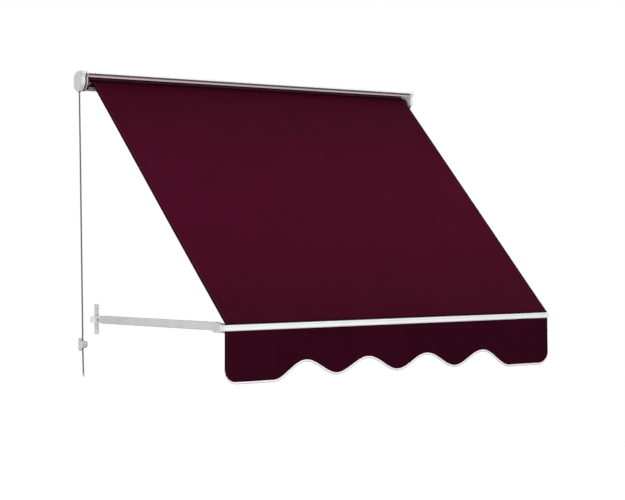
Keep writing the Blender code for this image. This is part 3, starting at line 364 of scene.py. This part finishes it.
# Coated metal
def powder_coat(name):
    """Polyester powder coat on aluminium, baked: an even white with a faint orange peel and a soft gloss."""
    made = new_material(name, "F3F3F2", 0.38, IOR=1.5)
    dress_surface(made, surface_noise(made, 90 * MM, 2.0), shades=("E9EAEA", "F3F3F2"))
    dress_surface(made, surface_noise(made, 2.5 * MM), roughness=(0.33, 0.43), relief=(0.12, 0.2 * MM))
    return made


def hood_coat_with_painted_shade():
    """The white coat of the head, with painted shade in its groove, inside, lower lip and underside, and the
    cloth's red as a painted reflection on its lips and inside.
    """
    made = powder_coat("powder coat of the head, painted shade and reflection")
    low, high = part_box("hood_profile")
    front, back, floor, top = low[1], high[1], low[2], high[2]
    groove_low = top - GROOVE_FLOOR_DROP + EDGE
    groove_high = top - GROOVE_TOP_DROP - EDGE
    groove_depths = (front + GROOVE_SET_BACK, front + GROOVE_DEPTH + GROOVE_PAST)
    lean = Vector((0, BACK_DROP, SHOULDER)).normalized()
    shoulder = lean.dot(Vector((0, back, top - BACK_DROP)))
    under_shoulder = (lean, -FAR, shoulder - WALL + EDGE)
    lips = (front - MM, front + WALL)
    zones = (
        (INSIDE_PAINTED_SHADE, (floor + WALL - EDGE, top - WALL + EDGE), (front + WALL - EDGE, back - WALL + EDGE)),
        (GROOVE_PAINTED_SHADE, (groove_low, groove_high), groove_depths),
        (UPPER_LIP_PAINTED_REFLECTION, (top - TOP_LIP_DROP - EDGE, groove_low - 2 * EDGE), lips),
        (LOWER_LIP_PAINTED_SHADE, (floor + UNDERSIDE, floor + BOTTOM_LIP_RISE + EDGE), lips),
        (UNDERSIDE_PAINTED_SHADE, (floor - MM, floor + UNDERSIDE), (front - MM, back + MM)),
    )
    # Each zone paints shade, or the cloth's red as a painted reflection, over the coat
    for shade, heights, depths in zones:
        paint(made, zone(made, (UP, *heights), (TO_WALL, *depths), under_shoulder), shade)
    return made


def arm_coat(name, dark, light):
    """The same coat in light greys on the steel arms and wall plates, a little duller. The plates' paler grey
    is painted light.
    """
    made = new_material(name, light, 0.45, IOR=1.5)
    dress_surface(made, surface_noise(made, 60 * MM, 2.0), shades=(dark, light))
    dress_surface(made, surface_noise(made, 2.5 * MM), roughness=(0.4, 0.5), relief=(0.12, 0.2 * MM))
    return made


# Mouldings
def moulded_plastic(name, dark, light):
    """Moulded ABS, light grey, with the fine spark grain of its mould."""
    made = new_material(name, light, 0.5, IOR=1.53)
    dress_surface(made, surface_noise(made, 25 * MM, 2.0), shades=(dark, light))
    dress_surface(made, surface_noise(made, 1.2 * MM, 5.0), roughness=(0.44, 0.58), relief=(0.2, 0.1 * MM))
    return made


def bracket_moulding_with_painted_shade():
    """The left bracket's moulding, with painted shade on its neck, and painted shade with the cloth's red as
    a painted reflection on its ring.
    """
    made = moulded_plastic("moulded ABS, drum bracket, painted shade", "ECEBEB", "F1F0F0")
    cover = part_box("end_cover_left")[1][0]
    head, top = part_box("hood_profile")[0][0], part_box("hood_profile")[1][2]
    neck = head - NECK_FROM_HEAD
    below_top = (UP, -FAR, top - GROOVE_TOP_DROP)
    # Painted shade and a painted reflection of the cloth's red on the ring, then painted shade on the neck
    paint(made, zone(made, (ALONG, neck, head + MM), below_top), RING_PAINTED_REFLECTION)
    paint(made, zone(made, (ALONG, cover - MM, neck), below_top), NECK_PAINTED_SHADE)
    return made


def dark_nylon():
    """Dark moulded nylon of the bushes, roller plugs, cord outlet and lock cam, slightly cloudy."""
    made = new_material("dark moulded nylon", "3A383A", 0.55, IOR=1.53)
    dress_surface(made, surface_noise(made, 8 * MM, 2.0), shades=("353335", "3F3D3F"))
    dress_surface(made, surface_noise(made, 1.0 * MM, 4.0), roughness=(0.48, 0.62), relief=(0.15, 0.1 * MM))
    return made


# Bare metal
def mill_aluminium():
    """Extruded aluminium left as it came from the die: fine lines drawn along its length."""
    made = new_material("extruded aluminium", "C4C5C8", 0.36, Metallic=1.0)
    lines = surface_noise(made, 0.6 * MM, 2.0, stretch=(0.004, 1, 1))
    dress_surface(made, lines, roughness=(0.28, 0.46), relief=(0.25, 0.05 * MM))
    return made


def zinc_plate():
    """Zinc plated steel, bright, with a slight blue mottle."""
    made = new_material("zinc plated steel", "BFC1C6", 0.3, Metallic=1.0)
    dress_surface(made, surface_noise(made, 3 * MM), shades=("B2B5BC", "C9CBCE"), roughness=(0.24, 0.38))
    return made


# Cloth
def weave(tree, size):
    """A plain weave's height from a UV map that spans size = (width, length)."""
    height = 1.0
    for place, length in zip(uv_place(tree), size):
        links = {0: place, 1: math.pi * length / YARN_PITCH}
        turns = add_node(tree, "ShaderNodeMath", links, operation="MULTIPLY").outputs[0]
        wave = add_node(tree, "ShaderNodeMath", {0: turns}, operation="SINE").outputs[0]
        height = add_node(tree, "ShaderNodeMath", {0: height, 1: wave}, operation="MULTIPLY").outputs[0]
    return height


def canvas(name, dark, light, size):
    """Solution dyed woven canvas with an acrylic coat: dull, close woven, with slightly uneven yarns.

    The real yarns are about 0.5 mm apart. They are drawn 2 mm apart, because finer ones can't show here.
    """
    made = new_material(name, light, 0.82, IOR=1.45, Specular_IOR_Level=0.05)
    tree = made.node_tree
    yarns = surface_noise(made, 5 * MM, 2.0, stretch=(0.08, 1, 1))
    clouds = surface_noise(made, 160 * MM, 2.0)
    uneven = 0.0
    for pattern, share in ((yarns, YARN_SHARE), (clouds, 1 - YARN_SHARE)):
        links = {"Value": pattern, "From Min": NOISE_SPAN[0], "From Max": NOISE_SPAN[1], "To Max": share}
        part = add_node(tree, "ShaderNodeMapRange", links).outputs["Result"]
        uneven = add_node(tree, "ShaderNodeMath", {0: uneven, 1: part}, operation="ADD").outputs[0]
    dress_surface(made, uneven, span=(0, 1), shades=(dark, light))
    dress_surface(made, weave(tree, size), relief=(0.35, 0.25 * MM))
    return made


def painted_shade_from_middle(made, start, end, shade):
    """Paints shade on a cloth, a little darker away from half way down it, between two shares of its length.
    """
    tree = made.node_tree
    off = add_node(tree, "ShaderNodeMath", {0: uv_place(tree)[1], 1: 0.5}, operation="SUBTRACT").outputs[0]
    away = add_node(tree, "ShaderNodeMath", {0: off}, operation="ABSOLUTE").outputs[0]
    links = {"Value": away, "From Min": start, "From Max": end}
    share = add_node(tree, "ShaderNodeMapRange", links, interpolation_type="SMOOTHSTEP").outputs["Result"]
    paint(made, share, shade)


def stitched_hem(name, dark, light, thread, size):
    """The same canvas doubled over, in darker shades, with a row of lockstitches near its inner edge."""
    made = canvas(name, dark, light, size)
    tree = made.node_tree
    across, down = uv_place(tree)
    links = {0: across, 1: STITCH_PLACE, 2: STITCH_THICK / size[0]}
    row = add_node(tree, "ShaderNodeMath", links, operation="COMPARE").outputs[0]
    links = {0: down, 1: size[1] / STITCH_PITCH}
    count = add_node(tree, "ShaderNodeMath", links, operation="MULTIPLY").outputs[0]
    turn = add_node(tree, "ShaderNodeMath", {0: count}, operation="FRACT").outputs[0]
    dash = add_node(tree, "ShaderNodeMath", {0: turn, 1: STITCH_SHARE}, operation="LESS_THAN").outputs[0]
    seam = add_node(tree, "ShaderNodeMath", {0: row, 1: dash}, operation="MULTIPLY").outputs[0]
    paint(made, seam, thread)
    return made


def woven_braid():
    """White polyester edge braid: soft and dull, with faint uneven threads."""
    made = new_material("polyester edge braid", "F6F5F5", 0.75, IOR=1.45)
    threads = surface_noise(made, 2 * MM, 2.0, stretch=(1, 1, 3))
    dress_surface(made, threads, shades=("EDECEC", "FAFAFA"), relief=(0.4, 0.3 * MM))
    return made


# Cord and yarn
def braided_cord(length):
    """Braided polyester cord: eight strands crossing, each about 1.6 mm wide along the cord."""
    made = new_material("braided polyester", "8E8E8E", 0.7, IOR=1.45)
    tree = made.node_tree
    turns = []
    for place, angle in zip(uv_place(tree), (math.pi * length / STRAND, math.pi * STRANDS)):
        turns.append(add_node(tree, "ShaderNodeMath", {0: place, 1: angle}, operation="MULTIPLY").outputs[0])
    waves = []
    for operation in ("ADD", "SUBTRACT"):
        crossed = add_node(tree, "ShaderNodeMath", {0: turns[0], 1: turns[1]}, operation=operation).outputs[0]
        waves.append(add_node(tree, "ShaderNodeMath", {0: crossed}, operation="SINE").outputs[0])
    height = add_node(tree, "ShaderNodeMath", {0: waves[0], 1: waves[1]}, operation="MAXIMUM").outputs[0]
    # Darker where the strands dip between each other: painted shade
    dress_surface(made, height, span=(-1, 1), shades=("505050", "7C7C7C"), relief=(0.6, 0.3 * MM))
    return made


def wound_cord():
    """The same cord wound on its drum, its turns side by side."""
    made = new_material("wound braided polyester", "8E8E8E", 0.7, IOR=1.45)
    tree = made.node_tree
    place = add_node(tree, "ShaderNodeTexCoord")
    along = add_node(tree, "ShaderNodeSeparateXYZ", {"Vector": place.outputs["Object"]}).outputs["X"]
    links = {0: along, 1: math.pi / (2 * CORD_R)}
    turns = add_node(tree, "ShaderNodeMath", links, operation="MULTIPLY").outputs[0]
    wave = add_node(tree, "ShaderNodeMath", {0: turns}, operation="SINE").outputs[0]
    height = add_node(tree, "ShaderNodeMath", {0: wave}, operation="ABSOLUTE").outputs[0]
    # Darker in the grooves between the turns: painted shade
    dress_surface(made, height, span=(0, 1), shades=("5A5A5A", "A2A2A2"), relief=(0.8, 1.0 * MM))
    return made


def wrapped_yarn(length):
    """Grey polyester piping: yarns wrapped slantwise about a core, drawn at about their real spacing."""
    made = new_material("wrapped polyester yarn", "B4B0B2", 0.8, IOR=1.45)
    tree = made.node_tree
    along, around = uv_place(tree)
    links = {0: along, 1: length / WRAP_PITCH, 2: around}
    slant = add_node(tree, "ShaderNodeMath", links, operation="MULTIPLY_ADD").outputs[0]
    turn = add_node(tree, "ShaderNodeMath", {0: slant, 1: 2 * math.pi}, operation="MULTIPLY").outputs[0]
    yarn = add_node(tree, "ShaderNodeMath", {0: turn}, operation="SINE").outputs[0]
    # Darker in the grooves between the yarns: painted shade
    dress_surface(made, yarn, span=(-1, 1), shades=("9A9698", "BBB7B9"), relief=(0.5, 0.2 * MM))
    return made


# Modelling by hand
def deselect_all():
    if bpy.context.object and bpy.context.object.mode != "OBJECT":
        bpy.ops.object.mode_set(mode="OBJECT")
    bpy.ops.object.select_all(action="DESELECT")


def make_active(piece):
    deselect_all()
    bpy.context.view_layer.objects.active = piece
    piece.select_set(True)


def in_edit_mode(mode):
    bpy.ops.object.mode_set(mode="EDIT")
    bpy.ops.mesh.select_mode(type=mode)


def name_active(name, finish, smooth=None):
    """Names the active object, applies its place and gives it its finish and shading."""
    piece = bpy.context.object
    bpy.ops.object.transform_apply(location=True, rotation=True, scale=True)
    piece.name = name
    piece.data.name = name
    piece.data.materials.clear()
    piece.data.materials.append(finish)
    if smooth is not None:
        bpy.ops.object.shade_smooth_by_angle(angle=math.radians(smooth))
    return piece


def shaped_grid(columns, rows, place_of):
    """A grid whose vertices go where place_of(u, v) says, u and v as in its UV map, from 0 to 1."""
    deselect_all()
    bpy.ops.mesh.primitive_grid_add(x_subdivisions=columns, y_subdivisions=rows, size=1, calc_uvs=True)
    grid = bpy.context.object
    for vertex in grid.data.vertices:
        vertex.co = place_of(vertex.co.x + 0.5, vertex.co.y + 0.5)
    return grid


def thicken(sheet, thickness=CLOTH):
    """Gives a sheet its thickness, half to each side."""
    modifier = sheet.modifiers.new("thickness", "SOLIDIFY")
    modifier.thickness = thickness
    modifier.offset = 0.0
    make_active(sheet)
    bpy.ops.object.modifier_apply(modifier=modifier.name)


def outward(piece):
    """Merges a finished mesh's doubles and turns its faces outwards."""
    make_active(piece)
    in_edit_mode("VERT")
    bpy.ops.mesh.select_all(action="SELECT")
    bpy.ops.mesh.remove_doubles(threshold=MERGE)
    bpy.ops.mesh.normals_make_consistent(inside=False)
    bpy.ops.object.mode_set(mode="OBJECT")


def close_ends(piece):
    """Joins the seam of a tube, fills its open ends and turns its faces outwards."""
    outward(piece)
    in_edit_mode("EDGE")
    bpy.ops.mesh.select_all(action="DESELECT")
    bpy.ops.mesh.select_non_manifold()
    bpy.ops.mesh.edge_face_add()
    bpy.ops.object.mode_set(mode="OBJECT")
    outward(piece)


def turned_piece(name, profile, place, finish, sides):
    """A piece turned about an upright axis from (height, radius) points, closed at its poles."""
    deselect_all()
    bpy.ops.mesh.primitive_circle_add(vertices=len(profile), fill_type="NOTHING", location=(0, 0, 0))
    piece = bpy.context.object
    for vertex, (height, radius) in zip(piece.data.vertices, profile):
        vertex.co = (radius, 0, height)
    in_edit_mode("EDGE")
    bpy.ops.mesh.select_all(action="SELECT")
    bpy.ops.mesh.spin(steps=sides, angle=2 * math.pi, center=(0, 0, 0), axis=(0, 0, 1))
    bpy.ops.object.mode_set(mode="OBJECT")
    piece.location = place
    bpy.ops.object.transform_apply(location=True, rotation=True, scale=True)
    outward(piece)
    return name_active(name, finish, SMOOTH)


# Shapes of the canopy
def canopy_ends():
    """The canopy's line in side view: where it leaves the roll, and where it meets the front bar."""
    low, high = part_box("canopy_cloth")
    half_way = (low[2] + high[2]) / 2
    places = [vertex.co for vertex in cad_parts["canopy_cloth"].data.vertices]
    upper = [place for place in places if place.z > half_way]
    lower = [place for place in places if place.z < half_way]
    middles = [sum(part, Vector()) / len(part) for part in (upper, lower)]
    return [Vector((0, middle.y, middle.z)) for middle in middles]


def canopy_point(across, down, start, end, lift=0.0):
    """A point of the tensioned canopy: a shallow hollow between the ends, and faint pulls from its corners.

    The hollow is deepest three quarters of the way down, where held is 1. So the cloth stays clear of the
    head's lower lip when it is rolled up.
    """
    line = end - start
    normal = Vector((0, line.z, -line.y)).normalized()
    held = down**3 * (1 - down) * 256 / 27
    free = 1 - (2 * across - 1) ** 4
    sag = CANOPY_SAG * held * (EDGE_SAG + (1 - EDGE_SAG) * free)
    sag += CANOPY_RIPPLE * held * math.sin(RIPPLE_ACROSS * across + RIPPLE_DOWN * down) * abs(2 * across - 1)
    x = (across - 0.5) * CANOPY_WIDTH
    return Vector((x, 0, 0)) + start.lerp(end, down) - normal * (sag - lift)


def make_canopy(start, end, finish):
    canopy = shaped_grid(CANOPY_COLUMNS, CANOPY_ROWS, lambda u, v: canopy_point(u, 1 - v, start, end))
    thicken(canopy)
    return name_active("canopy", finish, SMOOTH)


def make_canopy_hem(side, sign, start, end, finish):
    """The side edge of the canopy, turned over onto its face and stitched flat."""

    def place(u, v):
        from_edge = u * HEM_WIDTH / CANOPY_WIDTH
        across = from_edge if sign < 0 else 1 - from_edge
        return canopy_point(across, 1 - v, start, end, lift=CLOTH + PLY_GAP)

    hem = shaped_grid(HEM_COLUMNS, CANOPY_ROWS, place)
    thicken(hem)
    outward(hem)
    return name_active(f"canopy_hem_{side}", finish, SMOOTH)


def make_canopy_foot(start, end, finish):
    """The foot of the canopy, doubled and sewn where it runs down into the bar. Its very dark colour is a
    painted shadow line above the bar.
    """
    share = FOOT_WIDTH / (end - start).length
    lift = 2 * (CLOTH + PLY_GAP)

    def place(u, v):
        return canopy_point(u, 1 - v * share, start, end, lift)

    foot = shaped_grid(CANOPY_COLUMNS, FOOT_ROWS, place)
    thicken(foot)
    outward(foot)
    return name_active("canopy_foot", finish, SMOOTH)


def make_roll(start, finish):
    """The last turns of the canopy on the roller: one strip, wound in a spiral that ends where it leaves.

    Its cloth is drawn a little thinner, so that the turns don't touch.
    """
    low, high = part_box("roller_tube")
    centre = Vector((0, (low[1] + high[1]) / 2, (low[2] + high[2]) / 2))
    leaving = Vector((0, start.y, start.z)) - centre
    outer = leaving.length
    inner = TUBE_R + CLOTH
    last = math.atan2(-leaving.y, leaving.z)

    def place(u, v):
        angle = last - 2 * math.pi * ROLL_TURNS * (1 - v)
        radius = inner + (outer - inner) * v
        x = (u - 0.5) * CANOPY_WIDTH
        return centre + Vector((x, -radius * math.sin(angle), radius * math.cos(angle)))

    roll = shaped_grid(ROLL_COLUMNS, ROLL_ROWS, place)
    thicken(roll, ROLL_CLOTH)
    outward(roll)
    name_active("canopy_roll", finish, SMOOTH)
    return roll, math.pi * ROLL_TURNS * (inner + outer)


# Shapes of the valance
def valance_drop(x):
    """How far the valance's cloth hangs below the bar at a place along it."""
    x = abs(x)
    last_crest, flat_start = 1.5 * SCALLOP_PITCH, 2 * SCALLOP_PITCH
    corner = VALANCE_WIDTH / 2 - CORNER_R
    if x <= last_crest:
        share = (1 - math.cos(2 * math.pi * x / SCALLOP_PITCH)) / 2
        return SCALLOP_TROUGH_DROP + (SCALLOP_CREST_DROP - SCALLOP_TROUGH_DROP) * share
    if x <= flat_start:
        share = (1 + math.cos(math.pi * (x - last_crest) / (flat_start - last_crest))) / 2
        return VALANCE_DROP + (SCALLOP_CREST_DROP - VALANCE_DROP) * share
    if x <= corner:
        return VALANCE_DROP
    reach = min(x - corner, CORNER_R)
    return VALANCE_DROP - CORNER_R + math.sqrt(max(CORNER_R**2 - reach**2, 0.0))


def valance_sway(x, drop):
    """How far the hanging cloth stands off its plane, nothing at the bar and most at its free edge."""
    share = min(drop / VALANCE_DROP, 1.0)
    turn = 2 * math.pi * x / SCALLOP_PITCH
    wave = sum(height * math.sin(turn / pitch + phase) for height, pitch, phase in VALANCE_WAVES)
    return VALANCE_WAVE * wave * share**SWAY_POWER


def valance_top():
    low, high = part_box("valance")
    return Vector((0, (low[1] + high[1]) / 2, high[2]))


def valance_edge():
    """The valance's lower edge from its left side to its right, as (x, drop)."""
    corner = VALANCE_WIDTH / 2 - CORNER_R
    count = int(2 * corner / SCALLOP_PITCH * SCALLOP_STEPS)
    places = [-corner + 2 * corner * k / count for k in range(count + 1)]
    angles = [math.pi / 2 * k / CORNER_STEPS for k in range(1, CORNER_STEPS + 1)]
    arc = [(corner + CORNER_R * math.sin(a), VALANCE_DROP - CORNER_R * (1 - math.cos(a))) for a in angles]
    return [(-x, drop) for x, drop in reversed(arc)] + [(x, valance_drop(x)) for x in places] + arc


def make_valance(finish):
    """The hanging cloth. Its columns crowd a little towards its ends, where its corners are."""
    top = valance_top()

    def place(u, v):
        bent = math.sin(math.pi * CROWDING_TURN * (u - 0.5)) / math.sin(math.pi * CROWDING_TURN / 2)
        x = VALANCE_WIDTH / 2 * ((1 - END_CROWDING) * (2 * u - 1) + END_CROWDING * bent)
        down = (1 - v) * valance_drop(x)
        return x, top.y + valance_sway(x, down), top.z - down

    valance = shaped_grid(VALANCE_COLUMNS, VALANCE_ROWS, place)
    uv = valance.data.uv_layers.active.data
    for loop in valance.data.loops:
        co = valance.data.vertices[loop.vertex_index].co
        uv[loop.index].uv = (co.x / VALANCE_WIDTH + 0.5, (top.z - co.z) / VALANCE_DROP)
    thicken(valance)
    return name_active("valance_cloth", finish, SMOOTH)


def make_valance_hem(side, sign, finish):
    """The side edge of the valance, turned over onto its face."""
    top = valance_top()

    def place(u, v):
        x = sign * (VALANCE_WIDTH / 2 - VALANCE_HEM_INSET - u * VALANCE_HEM)
        down = (1 - v) * (valance_drop(x) - VALANCE_HEM_RISE)
        return x, top.y + valance_sway(x, down) - CLOTH - PLY_GAP, top.z - down

    hem = shaped_grid(VALANCE_HEM_COLUMNS, VALANCE_ROWS, place)
    thicken(hem)
    outward(hem)
    return name_active(f"valance_hem_{side}", finish, SMOOTH)


def ribbon_along_edge(name, out, half_width, half_thick, finish, sides):
    """A soft band with an oval section that follows the valance's edge, a given way outside it.

    Its ends run out to almost nothing up the two corners.
    """
    top = valance_top()
    edge = valance_edge()
    last = len(edge) - 1

    def place(u, v):
        i = round(u * last)
        angle = 2 * math.pi * v
        (xa, da), (x, drop), (xb, db) = edge[max(i - 1, 0)], edge[i], edge[min(i + 1, last)]
        along = Vector((xb - xa, da - db)).normalized()
        across = Vector((along.y, -along.x))
        full = min(1.0, CORNER_TAPER + (1 - CORNER_TAPER) * min(i, last - i) / CORNER_STEPS)
        shifted = Vector((x, -drop)) + across * full * (out + half_width * math.cos(angle))
        y = top.y + valance_sway(x, drop) + full * half_thick * math.sin(angle)
        return shifted.x, y, top.z + shifted.y

    close_ends(shaped_grid(last, sides, place))
    return name_active(name, finish, SMOOTH_ROUND)


# Pieces, with what carries them and what they stand for
def tube_along(name, path, radius, finish, sides):
    """A round tube on a path that never runs level, its UV along X and round Y."""
    last = len(path) - 1

    def place(u, v):
        i = round(u * last)
        angle = 2 * math.pi * v
        along = (path[min(i + 1, last)] - path[max(i - 1, 0)]).normalized()
        across = along.cross(ALONG).normalized()
        other = along.cross(across)
        return path[i] + (across * math.cos(angle) + other * math.sin(angle)) * radius

    close_ends(shaped_grid(last, sides, place))
    return name_active(name, finish, SMOOTH_ROUND)


def make_ferrule():
    """The moulded ferrule, which takes in the cord's end and is rounded at its top and foot."""
    top = FERRULE_BITE
    low = FERRULE_BITE - FERRULE_LENGTH
    bore = CORD_R + FERRULE_PLAY
    profile = [
        (top, bore),
        (top + FERRULE_CROWN, bore + FERRULE_LIP),
        (top, FERRULE_R - FERRULE_LIP),
        (top - FERRULE_TOP_ROUND, FERRULE_R),
        (low + FERRULE_FOOT_ROUND, FERRULE_R),
        (low + FERRULE_LIP, FERRULE_R * FERRULE_TAPER),
        (low, FERRULE_R * FERRULE_FACE),
        (low, 0),
        (-FERRULE_END_GAP, 0),
        (-FERRULE_END_GAP, bore),
    ]
    return turned_piece("ferrule", profile, CORD_END, FINISHES["moulding"], FERRULE_SIDES)


def make_cord():
    path = smooth_path(cord_route(), 3 * CORD_R)
    length = path_length(path)
    cord = tube_along("pull_cord_braid", path, CORD_R, braided_cord(length), CORD_SIDES)
    ferrule = make_ferrule()
    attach(cord, "frame")
    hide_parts("pull_cord")
    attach(ferrule, "frame")
    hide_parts("cord_ferrule")


def dress_canopy():
    start, end = canopy_ends()
    length = (end - start).length
    cloth = canvas("acrylic canvas, upper", "3E031A", "48031F", (CANOPY_WIDTH, length))
    # Painted shade on the canopy and its roll, darker away from the canopy's middle
    painted_shade_from_middle(cloth, PAINTED_SHADE_START, PAINTED_SHADE_END, ENDS_PAINTED_SHADE)
    hem_cloth = stitched_hem("acrylic canvas, doubled hem", "1E010A", "2A0210", "64283C", (HEM_WIDTH, length))
    # Very dark: a painted shadow line where the canopy meets the bar
    foot_painted_shadow_cloth = canvas("acrylic canvas, foot, painted shadow", "180108", "22020C", (CANOPY_WIDTH, FOOT_WIDTH))
    canopy = make_canopy(start, end, cloth)
    hems = [make_canopy_hem(side, sign, start, end, hem_cloth) for side, sign in (("left", -1), ("right", 1))]
    hems.append(make_canopy_foot(start, end, foot_painted_shadow_cloth))
    roll, roll_length = make_roll(start, cloth)
    for piece in (canopy, *hems):
        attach(piece, "frame")
        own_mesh(piece)
    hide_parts("canopy_cloth")
    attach(roll, "roller")
    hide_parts("cloth_roll")


def dress_valance():
    size = (VALANCE_HEM, VALANCE_DROP)
    # The canopy's cloth in darker shades: painted shade, for the cloth hanging in its own shade
    cloth = canvas("acrylic canvas, valance", "290211", "350319", (VALANCE_WIDTH, VALANCE_DROP))
    hem_cloth = stitched_hem("acrylic canvas, valance hem", "1A0109", "24020E", "4A1526", size)
    valance = make_valance(cloth)
    hems = [make_valance_hem(side, sign, hem_cloth) for side, sign in (("left", -1), ("right", 1))]
    half = BINDING_WIDTH / 2
    binding = ribbon_along_edge("edge_braid", half, half, BINDING_THICK / 2, woven_braid(), BINDING_SIDES)
    yarn = wrapped_yarn(path_length([Vector(point) for point in valance_edge()]))
    out = BINDING_WIDTH + PIPING_STAND
    piping = ribbon_along_edge("edge_piping", out, PIPING_R, PIPING_R, yarn, PIPING_SIDES)
    for piece in (valance, binding, piping, *hems):
        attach(piece, "front_bar")
    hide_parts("valance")
    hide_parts("valance_binding")


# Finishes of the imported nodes
def both(*names):
    """The left and the right one of each kind of node."""
    return [f"{name}_{side}" for name in names for side in ("left", "right")]


def dress_nodes():
    """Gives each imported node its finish."""
    rivets = [f"{rivet}_{place}" for rivet in both("lug_rivet") for place in ("first", "second")]
    screws = [f"{screw}_{place}" for screw in both("cover_screw") for place in ("front", "rear")]
    wanted = {
        "hood coat, painted shade": ["hood_profile"],
        "coat": ["front_bar", *both("bar_cap")],
        "arm coat": both("arm_tube"),
        "plate coat, painted light": both("wall_plate"),
        "moulding": ["end_cover_left", "cord_drum", "lock_base", "lock_housing"],
        "bracket moulding, painted shade": ["end_bracket_left"],
        "pale moulding, painted light": ["end_bracket_right", "end_cover_right"],
        "arm moulding": both("rear_fitting", "front_knuckle", "bar_lug"),
        "nylon": [*both("bush", "roller_plug"), "cord_outlet", "lock_cam"],
        "aluminium": ["roller_tube", *rivets],
        "zinc": [*screws, *both("pivot_bolt", "pivot_nut", "front_pin"), "lock_pin"],
        "cloth bead": ["canopy_bead", "valance_bead"],
        "wound cord": ["cord_winding"],
    }
    for finish, nodes in wanted.items():
        for node in nodes:
            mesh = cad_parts[node].data
            mesh.materials.clear()
            mesh.materials.append(FINISHES[finish])


# Floor, background and lights
def make_floor():
    """A matt floor. It shows white, but is grey to light, so that it brightens the undersides little."""
    deselect_all()
    bpy.ops.mesh.primitive_plane_add(size=FLOOR_SIZE, location=FLOOR_PLACE)
    made = new_material("matt white floor", "6A6A6A", 0.9, Emission_Color=(1, 1, 1, 1))
    tree = made.node_tree
    rays = add_node(tree, "ShaderNodeLightPath")
    links = {0: rays.outputs["Is Camera Ray"], 1: FLOOR_LIFT}
    drive(made, "Emission Strength", add_node(tree, "ShaderNodeMath", links, operation="MULTIPLY").outputs[0])
    name_active("floor", made)


def make_world():
    """An even white background, a little weaker as a light than it is to the camera and in reflections."""
    world = bpy.data.worlds.new("studio")
    bpy.context.scene.world = world
    world.use_nodes = True
    tree = world.node_tree
    tree.nodes.clear()
    rays = add_node(tree, "ShaderNodeLightPath")
    seen = rays.outputs["Is Camera Ray"]
    for ray in ("Is Glossy Ray", "Is Transmission Ray"):
        links = {0: seen, 1: rays.outputs[ray]}
        seen = add_node(tree, "ShaderNodeMath", links, operation="MAXIMUM").outputs[0]
    links = {"Value": seen, "To Min": WORLD_LEVEL, "To Max": 1.0}
    level = add_node(tree, "ShaderNodeMapRange", links).outputs["Result"]
    glow = add_node(tree, "ShaderNodeBackground", {"Color": (1, 1, 1, 1), "Strength": level})
    add_node(tree, "ShaderNodeOutputWorld", {"Surface": glow.outputs[0]})


def area_light(name, place, aim, size, power):
    data = bpy.data.lights.new(name, "AREA")
    data.shape = "SQUARE"
    data.size = size
    data.energy = power
    lamp = bpy.data.objects.new(name, data)
    lamp.location = place
    lamp.rotation_euler = (Vector(aim) - Vector(place)).to_track_quat("-Z", "Y").to_euler()
    bpy.context.scene.collection.objects.link(lamp)


FINISHES = {
    "coat": powder_coat("polyester powder coat"),
    "hood coat, painted shade": hood_coat_with_painted_shade(),
    "arm coat": arm_coat("light grey powder coat", "D2D2D2", "DDDDDC"),
    # The plates' paler copy of the arms' coat is painted light, making up for the shade they lie in
    "plate coat, painted light": arm_coat("pale grey powder coat, painted light", "ECECEC", "F5F5F4"),
    "moulding": moulded_plastic("moulded ABS", "DBDADA", "E4E3E3"),
    "bracket moulding, painted shade": bracket_moulding_with_painted_shade(),
    # On the right cover this is paler than the left cover's moulding: painted light for the brightly lit
    # right end
    "pale moulding, painted light": moulded_plastic("moulded ABS, plain end, painted light", "EFEEEE", "F5F4F4"),
    "arm moulding": moulded_plastic("moulded ABS, arm fittings", "D0CFCF", "D9D8D8"),
    "nylon": dark_nylon(),
    "aluminium": mill_aluminium(),
    "zinc": zinc_plate(),
    # The valance's darker shades, which are painted shade, used on both beads
    "cloth bead": canvas("acrylic canvas, bead", "290211", "350319", (CANOPY_WIDTH, BEAD_ROUND)),
    "wound cord": wound_cord(),
}

bpy.context.scene.view_settings.view_transform = "Standard"
make_camera()
make_cord()
dress_canopy()
dress_valance()
dress_nodes()
make_floor()
make_world()
for light in LIGHTS:
    area_light(*light)
